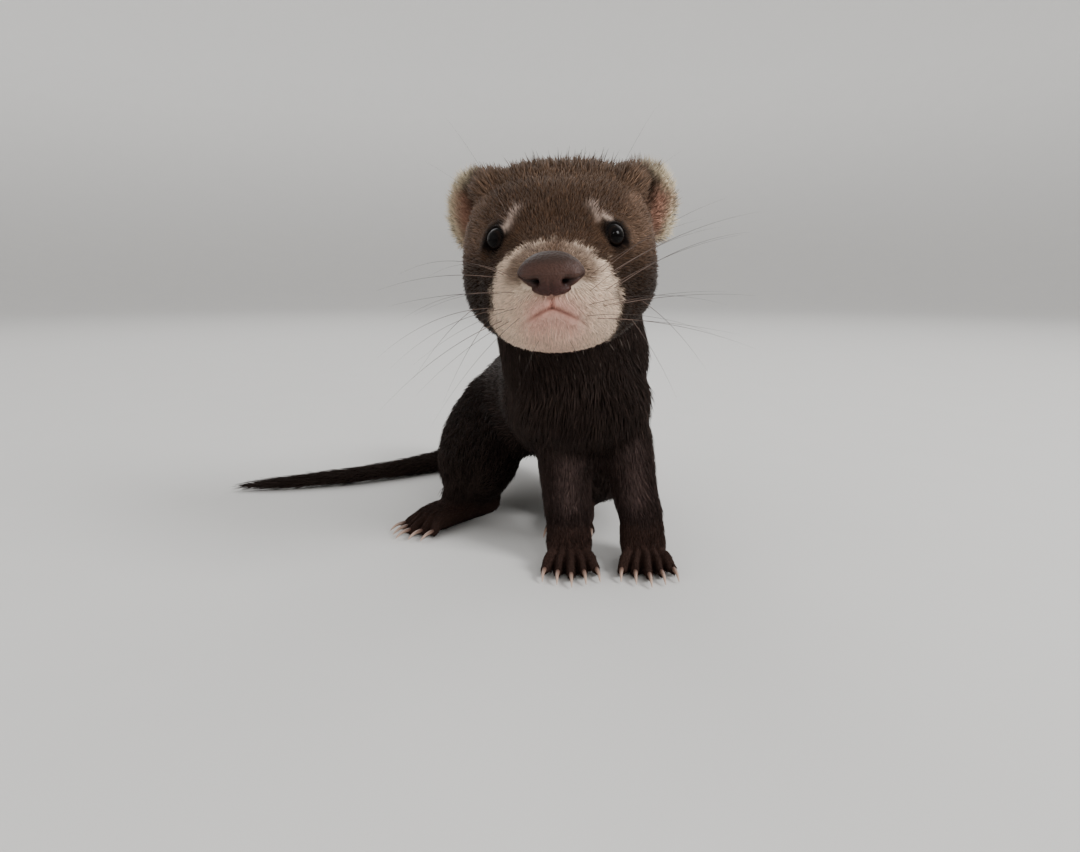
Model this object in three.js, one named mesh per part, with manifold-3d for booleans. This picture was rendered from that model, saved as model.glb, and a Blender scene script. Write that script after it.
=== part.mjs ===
// A young ferret at life size, sitting up on straight forelegs and looking ahead.
// Millimetres. X is to the right of someone facing the animal, Y runs from its nose to its rump, Z is up.
// The forms are lofts through sections named in order from front to back or from top to bottom.
import * as THREE from 'three';
import { mergeVertices } from 'three/addons/utils/BufferGeometryUtils.js';
import Module from 'manifold-3d';

const wasm = await Module();
wasm.setup();

// Gaps and fineness
const GAP = 0.3;
const AROUND_HEAD = 30;
const ALONG_HEAD = 24;
const AROUND_TRUNK = 24;
const AROUND_LEG = 14;
const AROUND_TOE = 6;

// Head: its own frame has the point between the eyes at the origin
const HEAD_AT = [2.9, 155, 73];
const HEAD_YAW = THREE.MathUtils.degToRad(-4.5);
const HEAD_ROLL = THREE.MathUtils.degToRad(-1.8);
const EYE_APART = 10.5;
const EYE_DEPTH = 0.9;
const EYE_RADIUS = 2.9;
const LID_RADIUS = 2.75;
const LID_THICK = 0.75;
const NOSE_AT = [0, -14.2, -6.7];
const NOSTRIL_AT = [3.2, -17.0, -8.0];
const NOSTRIL_RADIUS = 0.85;
const MOUTH_WIDE = 5.9;
const MOUTH_TOP = -12.5;
const MOUTH_DROP = 3.2;
const LIP_DEPTH = 0.9;
const LIP_GAP = 0.9;
const EAR_AT = [19.2, 23.5, 7.0];
const EAR_SIZE = [8.0, 5.4, 9.4];
const EAR_WALL = 1.35;
const EAR_TURN = THREE.MathUtils.degToRad(30);
const EAR_LEAN = THREE.MathUtils.degToRad(16);

// Each head section: distance behind the eyes, half width, top, bottom, squareness
const HEAD_SECTIONS = [
  [-15.2, 0, -8.5, -8.5, 2.0],
  [-14.0, 6.2, -3.6, -14.2, 2.1],
  [-10.5, 10.4, -1.6, -18.6, 2.2],
  [-6.0, 12.9, 0.8, -21.4, 2.3],
  [0.0, 16.6, 5.2, -22.4, 2.4],
  [7.0, 19.4, 10.8, -22.4, 2.55],
  [14.0, 20.8, 15.8, -21.2, 2.75],
  [21.0, 20.8, 18.8, -19.4, 2.8],
  [28.0, 19.2, 18.6, -16.6, 2.6],
  [34.0, 15.0, 15.0, -12.2, 2.3],
  [39.5, 0, 1.6, 1.6, 2.0],
];

// The nose leather from its top to the lip: offset from its own centre, half width, reach ahead and behind.
// Broad over the nostrils' wings, it narrows to a block above the lip.
const NOSE_SECTIONS = [
  [0, 1.6, 3.3, 0, 0, 0],
  [0, 0.6, 2.7, 3.2, 1.8, 3.0],
  [0, 0, 1.4, 5.2, 2.9, 3.4],
  [0, 0, 0.1, 5.9, 3.5, 3.6],
  [0, 0, -1.1, 4.9, 3.4, 3.6],
  [0, 0.1, -2.1, 3.7, 3.2, 3.4],
  [0, 0.3, -3.0, 3.5, 2.9, 3.0],
  [0, 0.9, -3.6, 0, 0, 0],
];

// Trunk sections: centre, half width, height above and below the centre
const TRUNK_SECTIONS = [
  [10.2, 165.5, 38, 0, 0, 0],
  [10.2, 170, 37.5, 13.0, 13.0, 9.5],
  [9.8, 177, 38, 17.2, 17.5, 13.5],
  [9.0, 186, 38, 18.6, 20.5, 17.5],
  [7.5, 197, 39.0, 18.8, 19.5, 21.0],
  [5.6, 209, 38.0, 18.4, 18.5, 23.0],
  [3.4, 221, 35.0, 18.2, 17.5, 22.0],
  [0.6, 233, 32.0, 18.4, 16.5, 20.0],
  [-2.6, 244, 28.5, 18.6, 16.0, 18.5],
  [-6.0, 255, 25.5, 16.8, 15.0, 16.5],
  [-9.0, 264, 22.5, 12.4, 11.0, 12.0],
  [-11.2, 271, 20.5, 0, 0, 0],
];
const CHEST_END = 0.4;
const BELLY_END = 0.68;

// Neck sections, from inside the chest up into the skull: centre, half width, front and back depth
const NECK_SECTIONS = [
  [10.0, 187, 30, 0, 0, 0],
  [9.6, 186, 37, 16.0, 13.5, 13.5],
  [8.6, 185, 45, 18.6, 16.0, 15.0],
  [7.0, 183.5, 53, 18.4, 16.5, 15.0],
  [5.4, 182, 61, 17.8, 15.5, 14.5],
  [4.4, 181, 69, 16.4, 13.5, 13.0],
  [4.0, 180, 77, 0, 0, 0],
];

// Forelegs from shoulder to wrist: offset from the wrist across, back and up, half width, front and back.
// Both stand a little outside the shoulder, the animal's left one more, by the lean.
const RIGHT_WRIST = [6.8, 177.5, 11];
const LEFT_WRIST = [24.0, 177.5, 11];
const FORELEG_SECTIONS = [
  [1, 7.0, 37, 0, 0, 0],
  [1, 6.5, 31, 9.6, 10.5, 11.0],
  [0.8, 5.2, 21, 8.8, 9.6, 10.0],
  [0.45, 3.4, 12, 7.6, 8.0, 8.2],
  [0.2, 1.5, 4, 6.6, 6.4, 6.4],
  [0, 0, -1, 6.0, 5.2, 5.4],
  [0, -0.6, -4, 0, 0, 0],
];
const LEFT_FORELEG_SCALE = 0.92;
const RIGHT_LEAN = -1.5;
const LEFT_LEAN = -6.5;

// Forepaws: own frame has the toes toward minus Y and the wrist above the origin
const FORE_TOE_REACH = 14.6;
const FORE_SPREAD = 2.6;
const FORE_PALM = [
  [0, 1.5, 12, 0, 0, 0],
  [0, 0.8, 10, 5.4, 4.6, 4.6],
  [0, -1.8, 6.8, 5.6, 4.2, 5.0],
  [0, -4.6, 4.2, 5.5, 3.2, 4.4],
  [0, -7.0, 2.8, 4.6, 2.0, 3.0],
  [0, -8.4, 2.2, 0, 0, 0],
];

// Hind legs: thigh and shank sections for the animal's right, beside the trunk
const THIGH_SECTIONS = [
  [-7.0, 254, 29, 0, 0, 0],
  [-10.0, 246, 27, 11.5, 13.0, 12.5],
  [-13.0, 236, 23.5, 13.2, 14.0, 14.5],
  [-16.0, 225, 19.0, 13.6, 13.0, 13.5],
  [-17.5, 213, 15.0, 12.4, 10.5, 10.8],
  [-18.0, 204, 12.5, 9.2, 7.4, 8.4],
  [-18.5, 198, 11.0, 0, 0, 0],
];
const SHANK_SECTIONS = [
  [-21.0, 203, 16, 0, 0, 0],
  [-20.5, 204.5, 12.0, 7.0, 6.2, 6.4],
  [-18.5, 208.5, 8.6, 6.0, 5.4, 6.0],
  [-16.5, 212, 5.8, 4.8, 4.4, 4.6],
  [-15.5, 214, 2.8, 0, 0, 0],
];
// The animal's left hind leg is the right one, reflected across the trunk and closer in under it,
// with its foot turned in behind the right foreleg
const LEFT_HIND_SHIFT = [-3.5, 3, 0];
const RIGHT_HOCK = [-15.5, 212.5];
const RIGHT_SPLAY = THREE.MathUtils.degToRad(42);
const LEFT_HOCK = [11.8, 217];
const LEFT_SPLAY = THREE.MathUtils.degToRad(10);
const HIND_TOE_REACH = 29;
const HIND_SPREAD = 2.5;
const HIND_PALM = [
  [0, 4.2, 5.0, 0, 0, 0],
  [0, 2.0, 4.8, 4.2, 3.6, 5.0],
  [0, -6.0, 4.4, 4.8, 3.4, 4.8],
  [0, -14.0, 4.0, 5.6, 3.2, 4.4],
  [0, -20.0, 3.2, 5.8, 2.6, 3.6],
  [0, -24.0, 2.4, 0, 0, 0],
];
const TOE_RADIUS = 1.5;
const CLAW_RADIUS = 0.6;

// Tail sections from the rump to the tip, lying on the floor
const TAIL_SECTIONS = [
  [-6.0, 257, 23, 0, 0, 0],
  [-9.0, 264, 20.0, 7.2, 6.8, 6.8],
  [-14.0, 270, 13.5, 5.6, 5.4, 5.4],
  [-22.5, 269.0, 7.0, 4.6, 4.4, 4.4],
  [-33.5, 260.5, 3.9, 4.0, 3.8, 4.1],
  [-47.0, 250.5, 3.2, 3.4, 3.2, 3.4],
  [-60.0, 243, 2.9, 3.1, 2.9, 3.1],
  [-74.0, 238, 2.5, 2.7, 2.5, 2.7],
  [-86.0, 235.5, 2.0, 2.1, 1.9, 2.2],
  [-95.0, 234.5, 1.5, 0, 0, 0],
];
const TAIL_BASE_END = 0.42;
const TAIL_MIDDLE_END = 0.7;

const COATS = {
  dark: new THREE.MeshStandardMaterial({ color: 0x2a221e, roughness: 0.85, metalness: 0 }),
  head: new THREE.MeshStandardMaterial({ color: 0x5a4b42, roughness: 0.85, metalness: 0 }),
  nose: new THREE.MeshStandardMaterial({ color: 0x6b4646, roughness: 0.5, metalness: 0 }),
  ear: new THREE.MeshStandardMaterial({ color: 0xa08070, roughness: 0.8, metalness: 0 }),
  eye: new THREE.MeshStandardMaterial({ color: 0x0a0808, roughness: 0.1, metalness: 0 }),
  paw: new THREE.MeshStandardMaterial({ color: 0x3a2c26, roughness: 0.8, metalness: 0 }),
};

// A smooth run of three numbers through the sections; sizes run as squares so that both ends come out round
function run(rows, square) {
  const points = rows.map((row) => new THREE.Vector3(...row.map((v) => (square ? v * v : v))));
  return new THREE.CatmullRomCurve3(points, false, 'catmullrom', 0.5);
}

function root(v) {
  return Math.sqrt(Math.max(v, 0));
}

// A ring's point on a superellipse: across, and up or down
function rim(angle, wide, up, down, square) {
  const c = Math.cos(angle);
  const s = Math.sin(angle);
  const power = 2 / square;
  const across = Math.sign(c) * Math.abs(c) ** power * wide;
  const rise = Math.sign(s) * Math.abs(s) ** power * (s > 0 ? up : down);
  return [across, rise];
}

// Rings joined one to the next and closed at both ends on their middle points; each ring turns the same way
function skin(rings, first, last) {
  const around = rings[0].length;
  const points = [first, ...rings.flat(), last];
  const faces = [];
  const end = points.length - 1;
  const at = (i, j) => 1 + i * around + (j % around);
  for (let j = 0; j < around; j += 1) {
    faces.push(0, at(0, j + 1), at(0, j));
    faces.push(end, at(rings.length - 1, j), at(rings.length - 1, j + 1));
    for (let i = 0; i + 1 < rings.length; i += 1) {
      faces.push(at(i, j), at(i, j + 1), at(i + 1, j + 1));
      faces.push(at(i, j), at(i + 1, j + 1), at(i + 1, j));
    }
  }
  const geometry = new THREE.BufferGeometry();
  geometry.setAttribute('position', new THREE.Float32BufferAttribute(points.flatMap((p) => p.toArray()), 3));
  geometry.setIndex(faces);
  return geometry;
}

// A body lofted along its sections; front names the direction that a section's up points nearest to.
// From and to are shares of the whole run: the stretch ends flat there, or round at 0 and 1.
function loft(sections, around, along, front, from = 0, to = 1) {
  const line = run(sections.map((s) => s.slice(0, 3)), false);
  const sizes = run(sections.map((s) => s.slice(3, 6)), true);
  const rings = [];
  const inset = 0.012;
  const low = from === 0 ? inset : from;
  const high = to === 1 ? 1 - inset : to;
  for (let i = 0; i <= along; i += 1) {
    let t = i / along;
    if (from === 0 && to === 1) {
      t = 0.5 - 0.5 * Math.cos(Math.PI * t) * (0.55 + 0.45 * Math.abs(2 * t - 1));
    }
    t = low + (high - low) * t;
    const middle = line.getPoint(t);
    const ahead = line.getTangent(t);
    const side = new THREE.Vector3().crossVectors(ahead, front).normalize();
    const up = new THREE.Vector3().crossVectors(side, ahead).normalize();
    const size = sizes.getPoint(t);
    const ring = [];
    for (let j = 0; j < around; j += 1) {
      const [across, rise] = rim((2 * Math.PI * j) / around, root(size.x), root(size.y), root(size.z), 2.15);
      ring.push(middle.clone().addScaledVector(side, -across).addScaledVector(up, rise));
    }
    rings.push(ring);
  }
  return skin(rings, line.getPoint(from), line.getPoint(to));
}

const UP = new THREE.Vector3(0, 0, 1);
const AHEAD = new THREE.Vector3(0, -1, 0);

// Booleans
function solid(geometry) {
  const bare = geometry.clone();
  bare.deleteAttribute('normal');
  bare.deleteAttribute('uv');
  const merged = mergeVertices(bare, 1e-4);
  return new wasm.Manifold(new wasm.Mesh({
    numProp: 3,
    vertProperties: new Float32Array(merged.attributes.position.array),
    triVerts: new Uint32Array(merged.index.array),
  }));
}

// The largest closed body of a solid, as a geometry
function largest(body) {
  const pieces = body.decompose();
  pieces.sort((a, b) => b.volume() - a.volume());
  const mesh = pieces[0].getMesh();
  const geometry = new THREE.BufferGeometry();
  const points = new Float32Array((mesh.vertProperties.length / mesh.numProp) * 3);
  for (let i = 0; i < points.length / 3; i += 1) {
    points.set(mesh.vertProperties.subarray(i * mesh.numProp, i * mesh.numProp + 3), i * 3);
  }
  geometry.setAttribute('position', new THREE.BufferAttribute(points, 3));
  geometry.setIndex(Array.from(mesh.triVerts));
  return geometry;
}

// The same surface moved out by a distance, to cut a neighbour clear of it
function grown(geometry, by) {
  const bare = geometry.clone();
  bare.deleteAttribute('normal');
  bare.deleteAttribute('uv');
  const merged = mergeVertices(bare, 1e-4);
  merged.computeVertexNormals();
  const place = merged.attributes.position;
  const normal = merged.attributes.normal;
  for (let i = 0; i < place.count; i += 1) {
    place.setXYZ(
      i,
      place.getX(i) + by * normal.getX(i),
      place.getY(i) + by * normal.getY(i),
      place.getZ(i) + by * normal.getZ(i),
    );
  }
  return solid(merged);
}

function ellipsoid(at, size, around = 20) {
  const geometry = new THREE.SphereGeometry(1, around, Math.round(around * 0.7));
  geometry.rotateX(Math.PI / 2);
  geometry.scale(...size);
  geometry.translate(...at);
  return geometry;
}

// Everything below the floor, which flattens what rests on it
function underfloor() {
  const block = new THREE.BoxGeometry(400, 400, 40);
  block.translate(0, 200, -20);
  return solid(block);
}

// A rounded swelling or hollow on a surface: how far a point moves out from the middle line
function swell(point, centre, reach, height) {
  const dx = (Math.abs(point.x) - centre[0]) / reach[0];
  const dy = (point.y - centre[1]) / reach[1];
  const dz = (point.z - centre[2]) / reach[2];
  return height * Math.exp(-(dx * dx + dy * dy + dz * dz));
}

// Whisker pads, brows, cheeks, chin and the hollows in front of the eyes
const HEAD_SWELLS = [
  [[6.0, -11.5, -9.5], [4.6, 4.5, 4.5], 1.5],
  [[8.5, 0.5, 5.2], [4.5, 5.0, 3.2], 0.9],
  [[19.0, 10.0, -9.0], [6.0, 9.0, 8.0], 0.9],
  [[0, -10.5, -18.5], [4.5, 4.0, 3.0], 1.0],
  [[10.6, -3.5, -1.0], [3.4, 3.4, 3.4], -0.9],
  [[0, 1.0, 5.0], [3.0, 8.0, 4.0], -0.5],
];

function headForm(inset = 0) {
  const rows = HEAD_SECTIONS;
  const middle = run(rows.map((r) => [0, r[0], (r[2] + r[3]) / 2]), false);
  const sizes = run(rows.map((r) => [r[1], (r[2] - r[3]) / 2, 0]), true);
  const shape = run(rows.map((r) => [r[4], 0, 0]), false);
  const rings = [];
  for (let i = 0; i <= ALONG_HEAD; i += 1) {
    const even = i / ALONG_HEAD;
    const t = 0.006 + 0.988 * (0.5 - 0.5 * Math.cos(Math.PI * even)) * 0.5 + 0.988 * 0.5 * even;
    const centre = middle.getPoint(t);
    const size = sizes.getPoint(t);
    const ring = [];
    for (let j = 0; j < AROUND_HEAD; j += 1) {
      const [across, rise] = rim(
        (2 * Math.PI * j) / AROUND_HEAD, root(size.x), root(size.y), root(size.y), shape.getPoint(t).x,
      );
      const point = new THREE.Vector3(-across, centre.y, centre.z + rise);
      const out = new THREE.Vector3(point.x, centre.y < -6 ? (centre.y + 6) * 1.2 : 0, rise).normalize();
      let far = -inset;
      for (const [at, reach, height] of HEAD_SWELLS) {
        far += swell(point, at, reach, height);
      }
      ring.push(point.addScaledVector(out, far));
    }
    rings.push(ring);
  }
  const first = middle.getPoint(0);
  const last = middle.getPoint(1);
  first.y += inset;
  last.y -= inset;
  return skin(rings, first, last);
}

// The line of the mouth: a band shaped like a shallow roof, cut a lip's depth into the muzzle
function mouthCut() {
  const corner = MOUTH_TOP - MOUTH_DROP;
  const half = LIP_GAP / 2;
  const bend = MOUTH_WIDE * 0.4;
  const outline = new THREE.Shape();
  outline.moveTo(-MOUTH_WIDE, corner - half);
  outline.quadraticCurveTo(-bend, MOUTH_TOP - LIP_GAP, 0, MOUTH_TOP - half);
  outline.quadraticCurveTo(bend, MOUTH_TOP - LIP_GAP, MOUTH_WIDE, corner - half);
  outline.lineTo(MOUTH_WIDE, corner + half);
  outline.quadraticCurveTo(bend, MOUTH_TOP, 0, MOUTH_TOP + half);
  outline.quadraticCurveTo(-bend, MOUTH_TOP, -MOUTH_WIDE, corner + half);
  const band = new THREE.ExtrudeGeometry(outline, { depth: 20, bevelEnabled: false, curveSegments: 3 });
  band.rotateX(Math.PI / 2);
  band.translate(0, -4, 0);
  return solid(band).subtract(solid(headForm(LIP_DEPTH)));
}

// An eyelid: a ring that stands around the eye's opening
function lid(side) {
  const ring = new THREE.TorusGeometry(LID_RADIUS, LID_THICK, 7, 18);
  ring.rotateX(Math.PI / 2);
  ring.scale(1.0, 1.0, 0.9);
  ring.translate(0, -1.15, 0);
  ring.rotateZ(side * THREE.MathUtils.degToRad(33));
  ring.translate(side * EYE_APART, EYE_DEPTH, 0);
  return ring;
}

function headSolid() {
  let body = solid(headForm());
  for (const side of [-1, 1]) {
    body = body.add(solid(lid(side)));
  }
  for (const side of [-1, 1]) {
    const socket = ellipsoid([side * EYE_APART, EYE_DEPTH, 0], Array(3).fill(EYE_RADIUS + GAP), 16);
    body = body.subtract(solid(socket));
  }
  return body.subtract(mouthCut());
}

function noseSolid() {
  const leather = loft(NOSE_SECTIONS, 22, 14, AHEAD);
  leather.translate(...NOSE_AT);
  let body = solid(leather).subtract(grown(headForm(), GAP));
  for (const side of [-1, 1]) {
    const hole = ellipsoid([0, 0, 0], [NOSTRIL_RADIUS, 1.7, NOSTRIL_RADIUS * 1.2], 10);
    hole.rotateZ(side * 0.5);
    hole.translate(side * NOSTRIL_AT[0], NOSTRIL_AT[1], NOSTRIL_AT[2]);
    body = body.subtract(solid(hole));
  }
  return body;
}

// An ear: a cup open to the front, standing out from the side of the skull
function earSolid(side) {
  const place = (geometry) => {
    geometry.rotateY(side * EAR_LEAN);
    geometry.rotateZ(side * EAR_TURN);
    geometry.translate(side * EAR_AT[0], EAR_AT[1], EAR_AT[2]);
    return geometry;
  };
  const outer = solid(place(ellipsoid([0, 0, 0], EAR_SIZE, 20)));
  const hollow = EAR_SIZE.map((size) => size - EAR_WALL);
  const inner = solid(place(ellipsoid([0, -0.9, 0], hollow, 18)));
  const slab = new THREE.BoxGeometry(30, 10, 30);
  slab.translate(0, -6.2, 0);
  return outer.subtract(inner).subtract(solid(place(slab))).subtract(grown(headForm(), GAP));
}

// Trunk, neck and tail
function trunkForm(around = AROUND_TRUNK, along = 40) {
  return loft(TRUNK_SECTIONS, around, along, UP);
}

// A trunk stretch between two shares of its run, each end half a gap short of its neighbour
function trunkStretch(from, to, along) {
  const step = GAP / 2 / run(TRUNK_SECTIONS.map((s) => s.slice(0, 3)), false).getLength();
  return loft(TRUNK_SECTIONS, AROUND_TRUNK, along, UP, from ? from + step : 0, to < 1 ? to - step : 1);
}

function tailStretch(from, to, along) {
  const step = GAP / 2 / run(TAIL_SECTIONS.map((s) => s.slice(0, 3)), false).getLength();
  return loft(TAIL_SECTIONS, 14, along, UP, from ? from + step : 0, to < 1 ? to - step : 1);
}

// Legs
function forelegForm(wrist, scale, lean) {
  const sections = FORELEG_SECTIONS.map(([x, y, z, wide, ahead, behind]) => [
    wrist[0] + x * lean, wrist[1] + y, wrist[2] + z, wide * scale, ahead * scale, behind * scale,
  ]);
  return loft(sections, AROUND_LEG, 14, AHEAD);
}

// One toe with its claw: it leaves the foot, bends at the knuckle and comes down to the floor
function toe(base, reach, aside, height, radius) {
  const tip = [base[0] + aside, base[1] - reach, radius * 0.85];
  const knuckle = [base[0] + aside * 0.55, base[1] - reach * 0.55, height * 0.8 + radius * 0.35];
  const flesh = loft([
    [base[0], base[1] + 1.5, base[2], 0, 0, 0],
    [base[0], base[1], base[2], radius, radius, radius],
    [...knuckle, radius * 1.05, radius * 1.05, radius * 1.05],
    [...tip, radius, radius * 0.9, radius],
    [tip[0] + aside * 0.12, tip[1] - radius * 1.2, tip[2], 0, 0, 0],
  ], AROUND_TOE, 4, UP);
  const claw = loft([
    [tip[0], tip[1] + 0.4, tip[2] + 0.35, 0, 0, 0],
    [tip[0], tip[1] - 0.8, tip[2] + 0.5, CLAW_RADIUS, CLAW_RADIUS, CLAW_RADIUS],
    [tip[0] + aside * 0.12, tip[1] - 3.0, tip[2] + 0.3, CLAW_RADIUS, CLAW_RADIUS, CLAW_RADIUS],
    [tip[0] + aside * 0.2, tip[1] - 5.0, tip[2] - 0.8, 0, 0, 0],
  ], 4, 3, UP);
  return solid(flesh).add(solid(claw));
}

// A foot in its own frame: the palm, five toes with claws, flattened where it stands
function foot(palm, toeBase, toeReach, spread, height, turn, at) {
  let body = solid(loft(palm, 11, 6, palmFront(palm)));
  for (let i = -2; i <= 2; i += 1) {
    const outer = Math.abs(i) / 2;
    const base = [i * spread * 0.62, toeBase + outer * 1.8, height * (1 - outer * 0.25)];
    body = body.add(toe(base, toeReach - outer * 1.2, i * spread * 0.5, height, TOE_RADIUS));
  }
  const placed = largest(body);
  placed.rotateZ(-turn);
  placed.translate(at[0], at[1], 0);
  return placed;
}

// A palm that comes down steeply takes the front as its up, a flat one takes up
function palmFront(palm) {
  const drop = palm[0][2] - palm[palm.length - 1][2];
  const length = palm[0][1] - palm[palm.length - 1][1];
  return drop > length * 0.8 ? AHEAD.clone().add(UP).normalize() : UP;
}

function forepaw(wrist) {
  return foot(FORE_PALM, -6.0, FORE_TOE_REACH - 6.0, FORE_SPREAD, 3.6, 0, wrist);
}

function hindfoot(hock, splay) {
  return foot(HIND_PALM, -19.0, HIND_TOE_REACH - 21.5, HIND_SPREAD, 3.0, splay, hock);
}

function hindleg(right) {
  let body = solid(loft(THIGH_SECTIONS, 22, 14, UP)).add(solid(loft(SHANK_SECTIONS, 14, 9, AHEAD)));
  if (!right) {
    const over = largest(body);
    const flip = new THREE.Matrix4().makeScale(-1, 1, 1);
    over.applyMatrix4(flip);
    const index = over.getIndex();
    for (let i = 0; i < index.count; i += 3) {
      const keep = index.getX(i);
      index.setX(i, index.getX(i + 1));
      index.setX(i + 1, keep);
    }
    over.translate(...LEFT_HIND_SHIFT);
    body = solid(over);
  }
  return body;
}

// Assembly
const ferret = new THREE.Group();
const head = new THREE.Group();
head.position.set(...HEAD_AT);
head.rotation.set(0, HEAD_ROLL, HEAD_YAW, 'ZYX');
head.updateMatrix();
ferret.add(head);

function put(group, name, geometry, material) {
  geometry.computeVertexNormals();
  const mesh = new THREE.Mesh(geometry, material);
  mesh.name = name;
  group.add(mesh);
}

const headBody = largest(headSolid());
put(head, 'head', headBody, COATS.head);
put(head, 'nose', largest(noseSolid()), COATS.nose);
for (const [name, side] of [['right', -1], ['left', 1]]) {
  put(head, `ear_${name}`, largest(earSolid(side)), COATS.ear);
  const ball = ellipsoid([side * EYE_APART, EYE_DEPTH, 0], Array(3).fill(EYE_RADIUS), 14);
  put(head, `eye_${name}`, ball, COATS.eye);
}

const headCutter = grown(headForm().applyMatrix4(head.matrix), GAP);
const trunkCutter = grown(trunkForm(), GAP);
const neckForm = loft(NECK_SECTIONS, AROUND_TRUNK, 16, AHEAD);
const neckBody = largest(solid(neckForm).subtract(headCutter).subtract(trunkCutter));
const neckCutter = grown(neckForm, GAP);
put(ferret, 'neck', neckBody, COATS.dark);
const chest = solid(trunkStretch(0, CHEST_END, 16)).subtract(headCutter);
put(ferret, 'chest', largest(chest), COATS.dark);
put(ferret, 'belly', trunkStretch(CHEST_END, BELLY_END, 10), COATS.dark);
put(ferret, 'rump', trunkStretch(BELLY_END, 1, 13), COATS.dark);

const floor = underfloor();
const forelegs = {
  right: forelegForm(RIGHT_WRIST, 1, RIGHT_LEAN),
  left: forelegForm(LEFT_WRIST, LEFT_FORELEG_SCALE, LEFT_LEAN),
};
const wrists = { right: RIGHT_WRIST, left: LEFT_WRIST };
for (const name of ['right', 'left']) {
  const leg = solid(forelegs[name]).subtract(trunkCutter).subtract(neckCutter);
  put(ferret, `foreleg_${name}`, largest(leg), COATS.dark);
  const paw = solid(forepaw(wrists[name])).subtract(floor).subtract(grown(forelegs[name], GAP));
  put(ferret, `forepaw_${name}`, largest(paw), COATS.paw);
}

const hocks = { right: [RIGHT_HOCK, RIGHT_SPLAY], left: [LEFT_HOCK, LEFT_SPLAY] };
const rightHaunch = grown(largest(hindleg(true)), GAP);
for (const name of ['right', 'left']) {
  let thigh = hindleg(name === 'right').subtract(trunkCutter).subtract(floor);
  if (name === 'left') {
    thigh = thigh.subtract(rightHaunch);
  }
  const leg = largest(thigh);
  put(ferret, `hindleg_${name}`, leg, COATS.dark);
  const paw = solid(hindfoot(...hocks[name])).subtract(floor).subtract(grown(leg, GAP)).subtract(trunkCutter);
  put(ferret, `hindfoot_${name}`, largest(paw), COATS.paw);
}

const rumpSide = solid(tailStretch(0, TAIL_BASE_END, 12)).subtract(trunkCutter).subtract(floor);
put(ferret, 'tail_base', largest(rumpSide), COATS.dark);
const tailMiddle = solid(tailStretch(TAIL_BASE_END, TAIL_MIDDLE_END, 8)).subtract(floor);
put(ferret, 'tail_middle', largest(tailMiddle), COATS.dark);
const tailTip = solid(tailStretch(TAIL_MIDDLE_END, 1, 8)).subtract(floor);
put(ferret, 'tail_tip', largest(tailTip), COATS.dark);

// The origin is on the floor, under the middle of the animal
ferret.updateMatrixWorld(true);
const bounds = new THREE.Box3().setFromObject(ferret, true);
ferret.position.set(-(bounds.min.x + bounds.max.x) / 2, -(bounds.min.y + bounds.max.y) / 2, -bounds.min.z);

export default ferret;
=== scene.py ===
"""A young ferret, life size, sitting up on its forelegs: skin, coat, eyes, nose, claws and whiskers.

Shapes are worked out in millimetres in the frame that the solids were drawn in: X to the right of
someone who faces the animal, Y from its nose to its rump, Z up. Each finished mesh is then moved to
metres and to its place. Places in the head are given in its own frame, from the point between the eyes.
"""

import math

import bpy
import numpy as np
from mathutils import Matrix, Vector, kdtree


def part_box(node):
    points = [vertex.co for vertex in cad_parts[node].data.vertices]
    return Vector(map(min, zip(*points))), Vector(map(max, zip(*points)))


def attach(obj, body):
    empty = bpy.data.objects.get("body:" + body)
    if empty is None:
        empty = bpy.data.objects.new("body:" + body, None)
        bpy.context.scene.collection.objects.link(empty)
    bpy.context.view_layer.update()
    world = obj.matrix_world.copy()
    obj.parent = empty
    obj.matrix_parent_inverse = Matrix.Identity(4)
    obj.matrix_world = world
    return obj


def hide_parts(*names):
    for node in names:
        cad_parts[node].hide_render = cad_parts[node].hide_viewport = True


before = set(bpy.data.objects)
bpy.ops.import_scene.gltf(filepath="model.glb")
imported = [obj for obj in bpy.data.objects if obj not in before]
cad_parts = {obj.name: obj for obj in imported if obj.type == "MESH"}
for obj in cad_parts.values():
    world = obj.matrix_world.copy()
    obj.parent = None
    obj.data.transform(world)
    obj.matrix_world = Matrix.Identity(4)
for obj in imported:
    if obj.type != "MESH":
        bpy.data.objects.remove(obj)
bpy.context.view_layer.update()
dice = np.random.default_rng(7)

# Head: its own frame has the point between the eyes at the origin
HEAD_AT = np.array([2.9, 155.0, 73.0])
HEAD_YAW = math.radians(-4.5)
HEAD_ROLL = math.radians(-1.8)
EYE_APART = 10.5
EYE_DEPTH = 0.9
EYE_RADIUS = 2.9
CORNEA_RISE = 0.16
CORNEA_ANGLE = 0.62
EYE_TURN = math.radians(33)
EYE_RISE = math.radians(7)
EYE_OPENING = math.radians(45)
LID_THICK = 0.26
NOSE_AT = np.array([0, -14.2, -6.7])
NOSTRIL_AT = np.array([3.1, -17.1, -8.0])
NOSE_LOW = -8.5
NOSE_LOW_SHARE = 0.58
MOUTH_WIDE = 5.9
MOUTH_TOP = -12.5
MOUTH_DROP = 3.2
EAR_AT = np.array([19.2, 23.5, 7.0])
EAR_SIZE = np.array([8.0, 5.4, 9.4])
EAR_WALL = 1.35
EAR_TURN = math.radians(30)
EAR_LEAN = math.radians(16)

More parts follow.
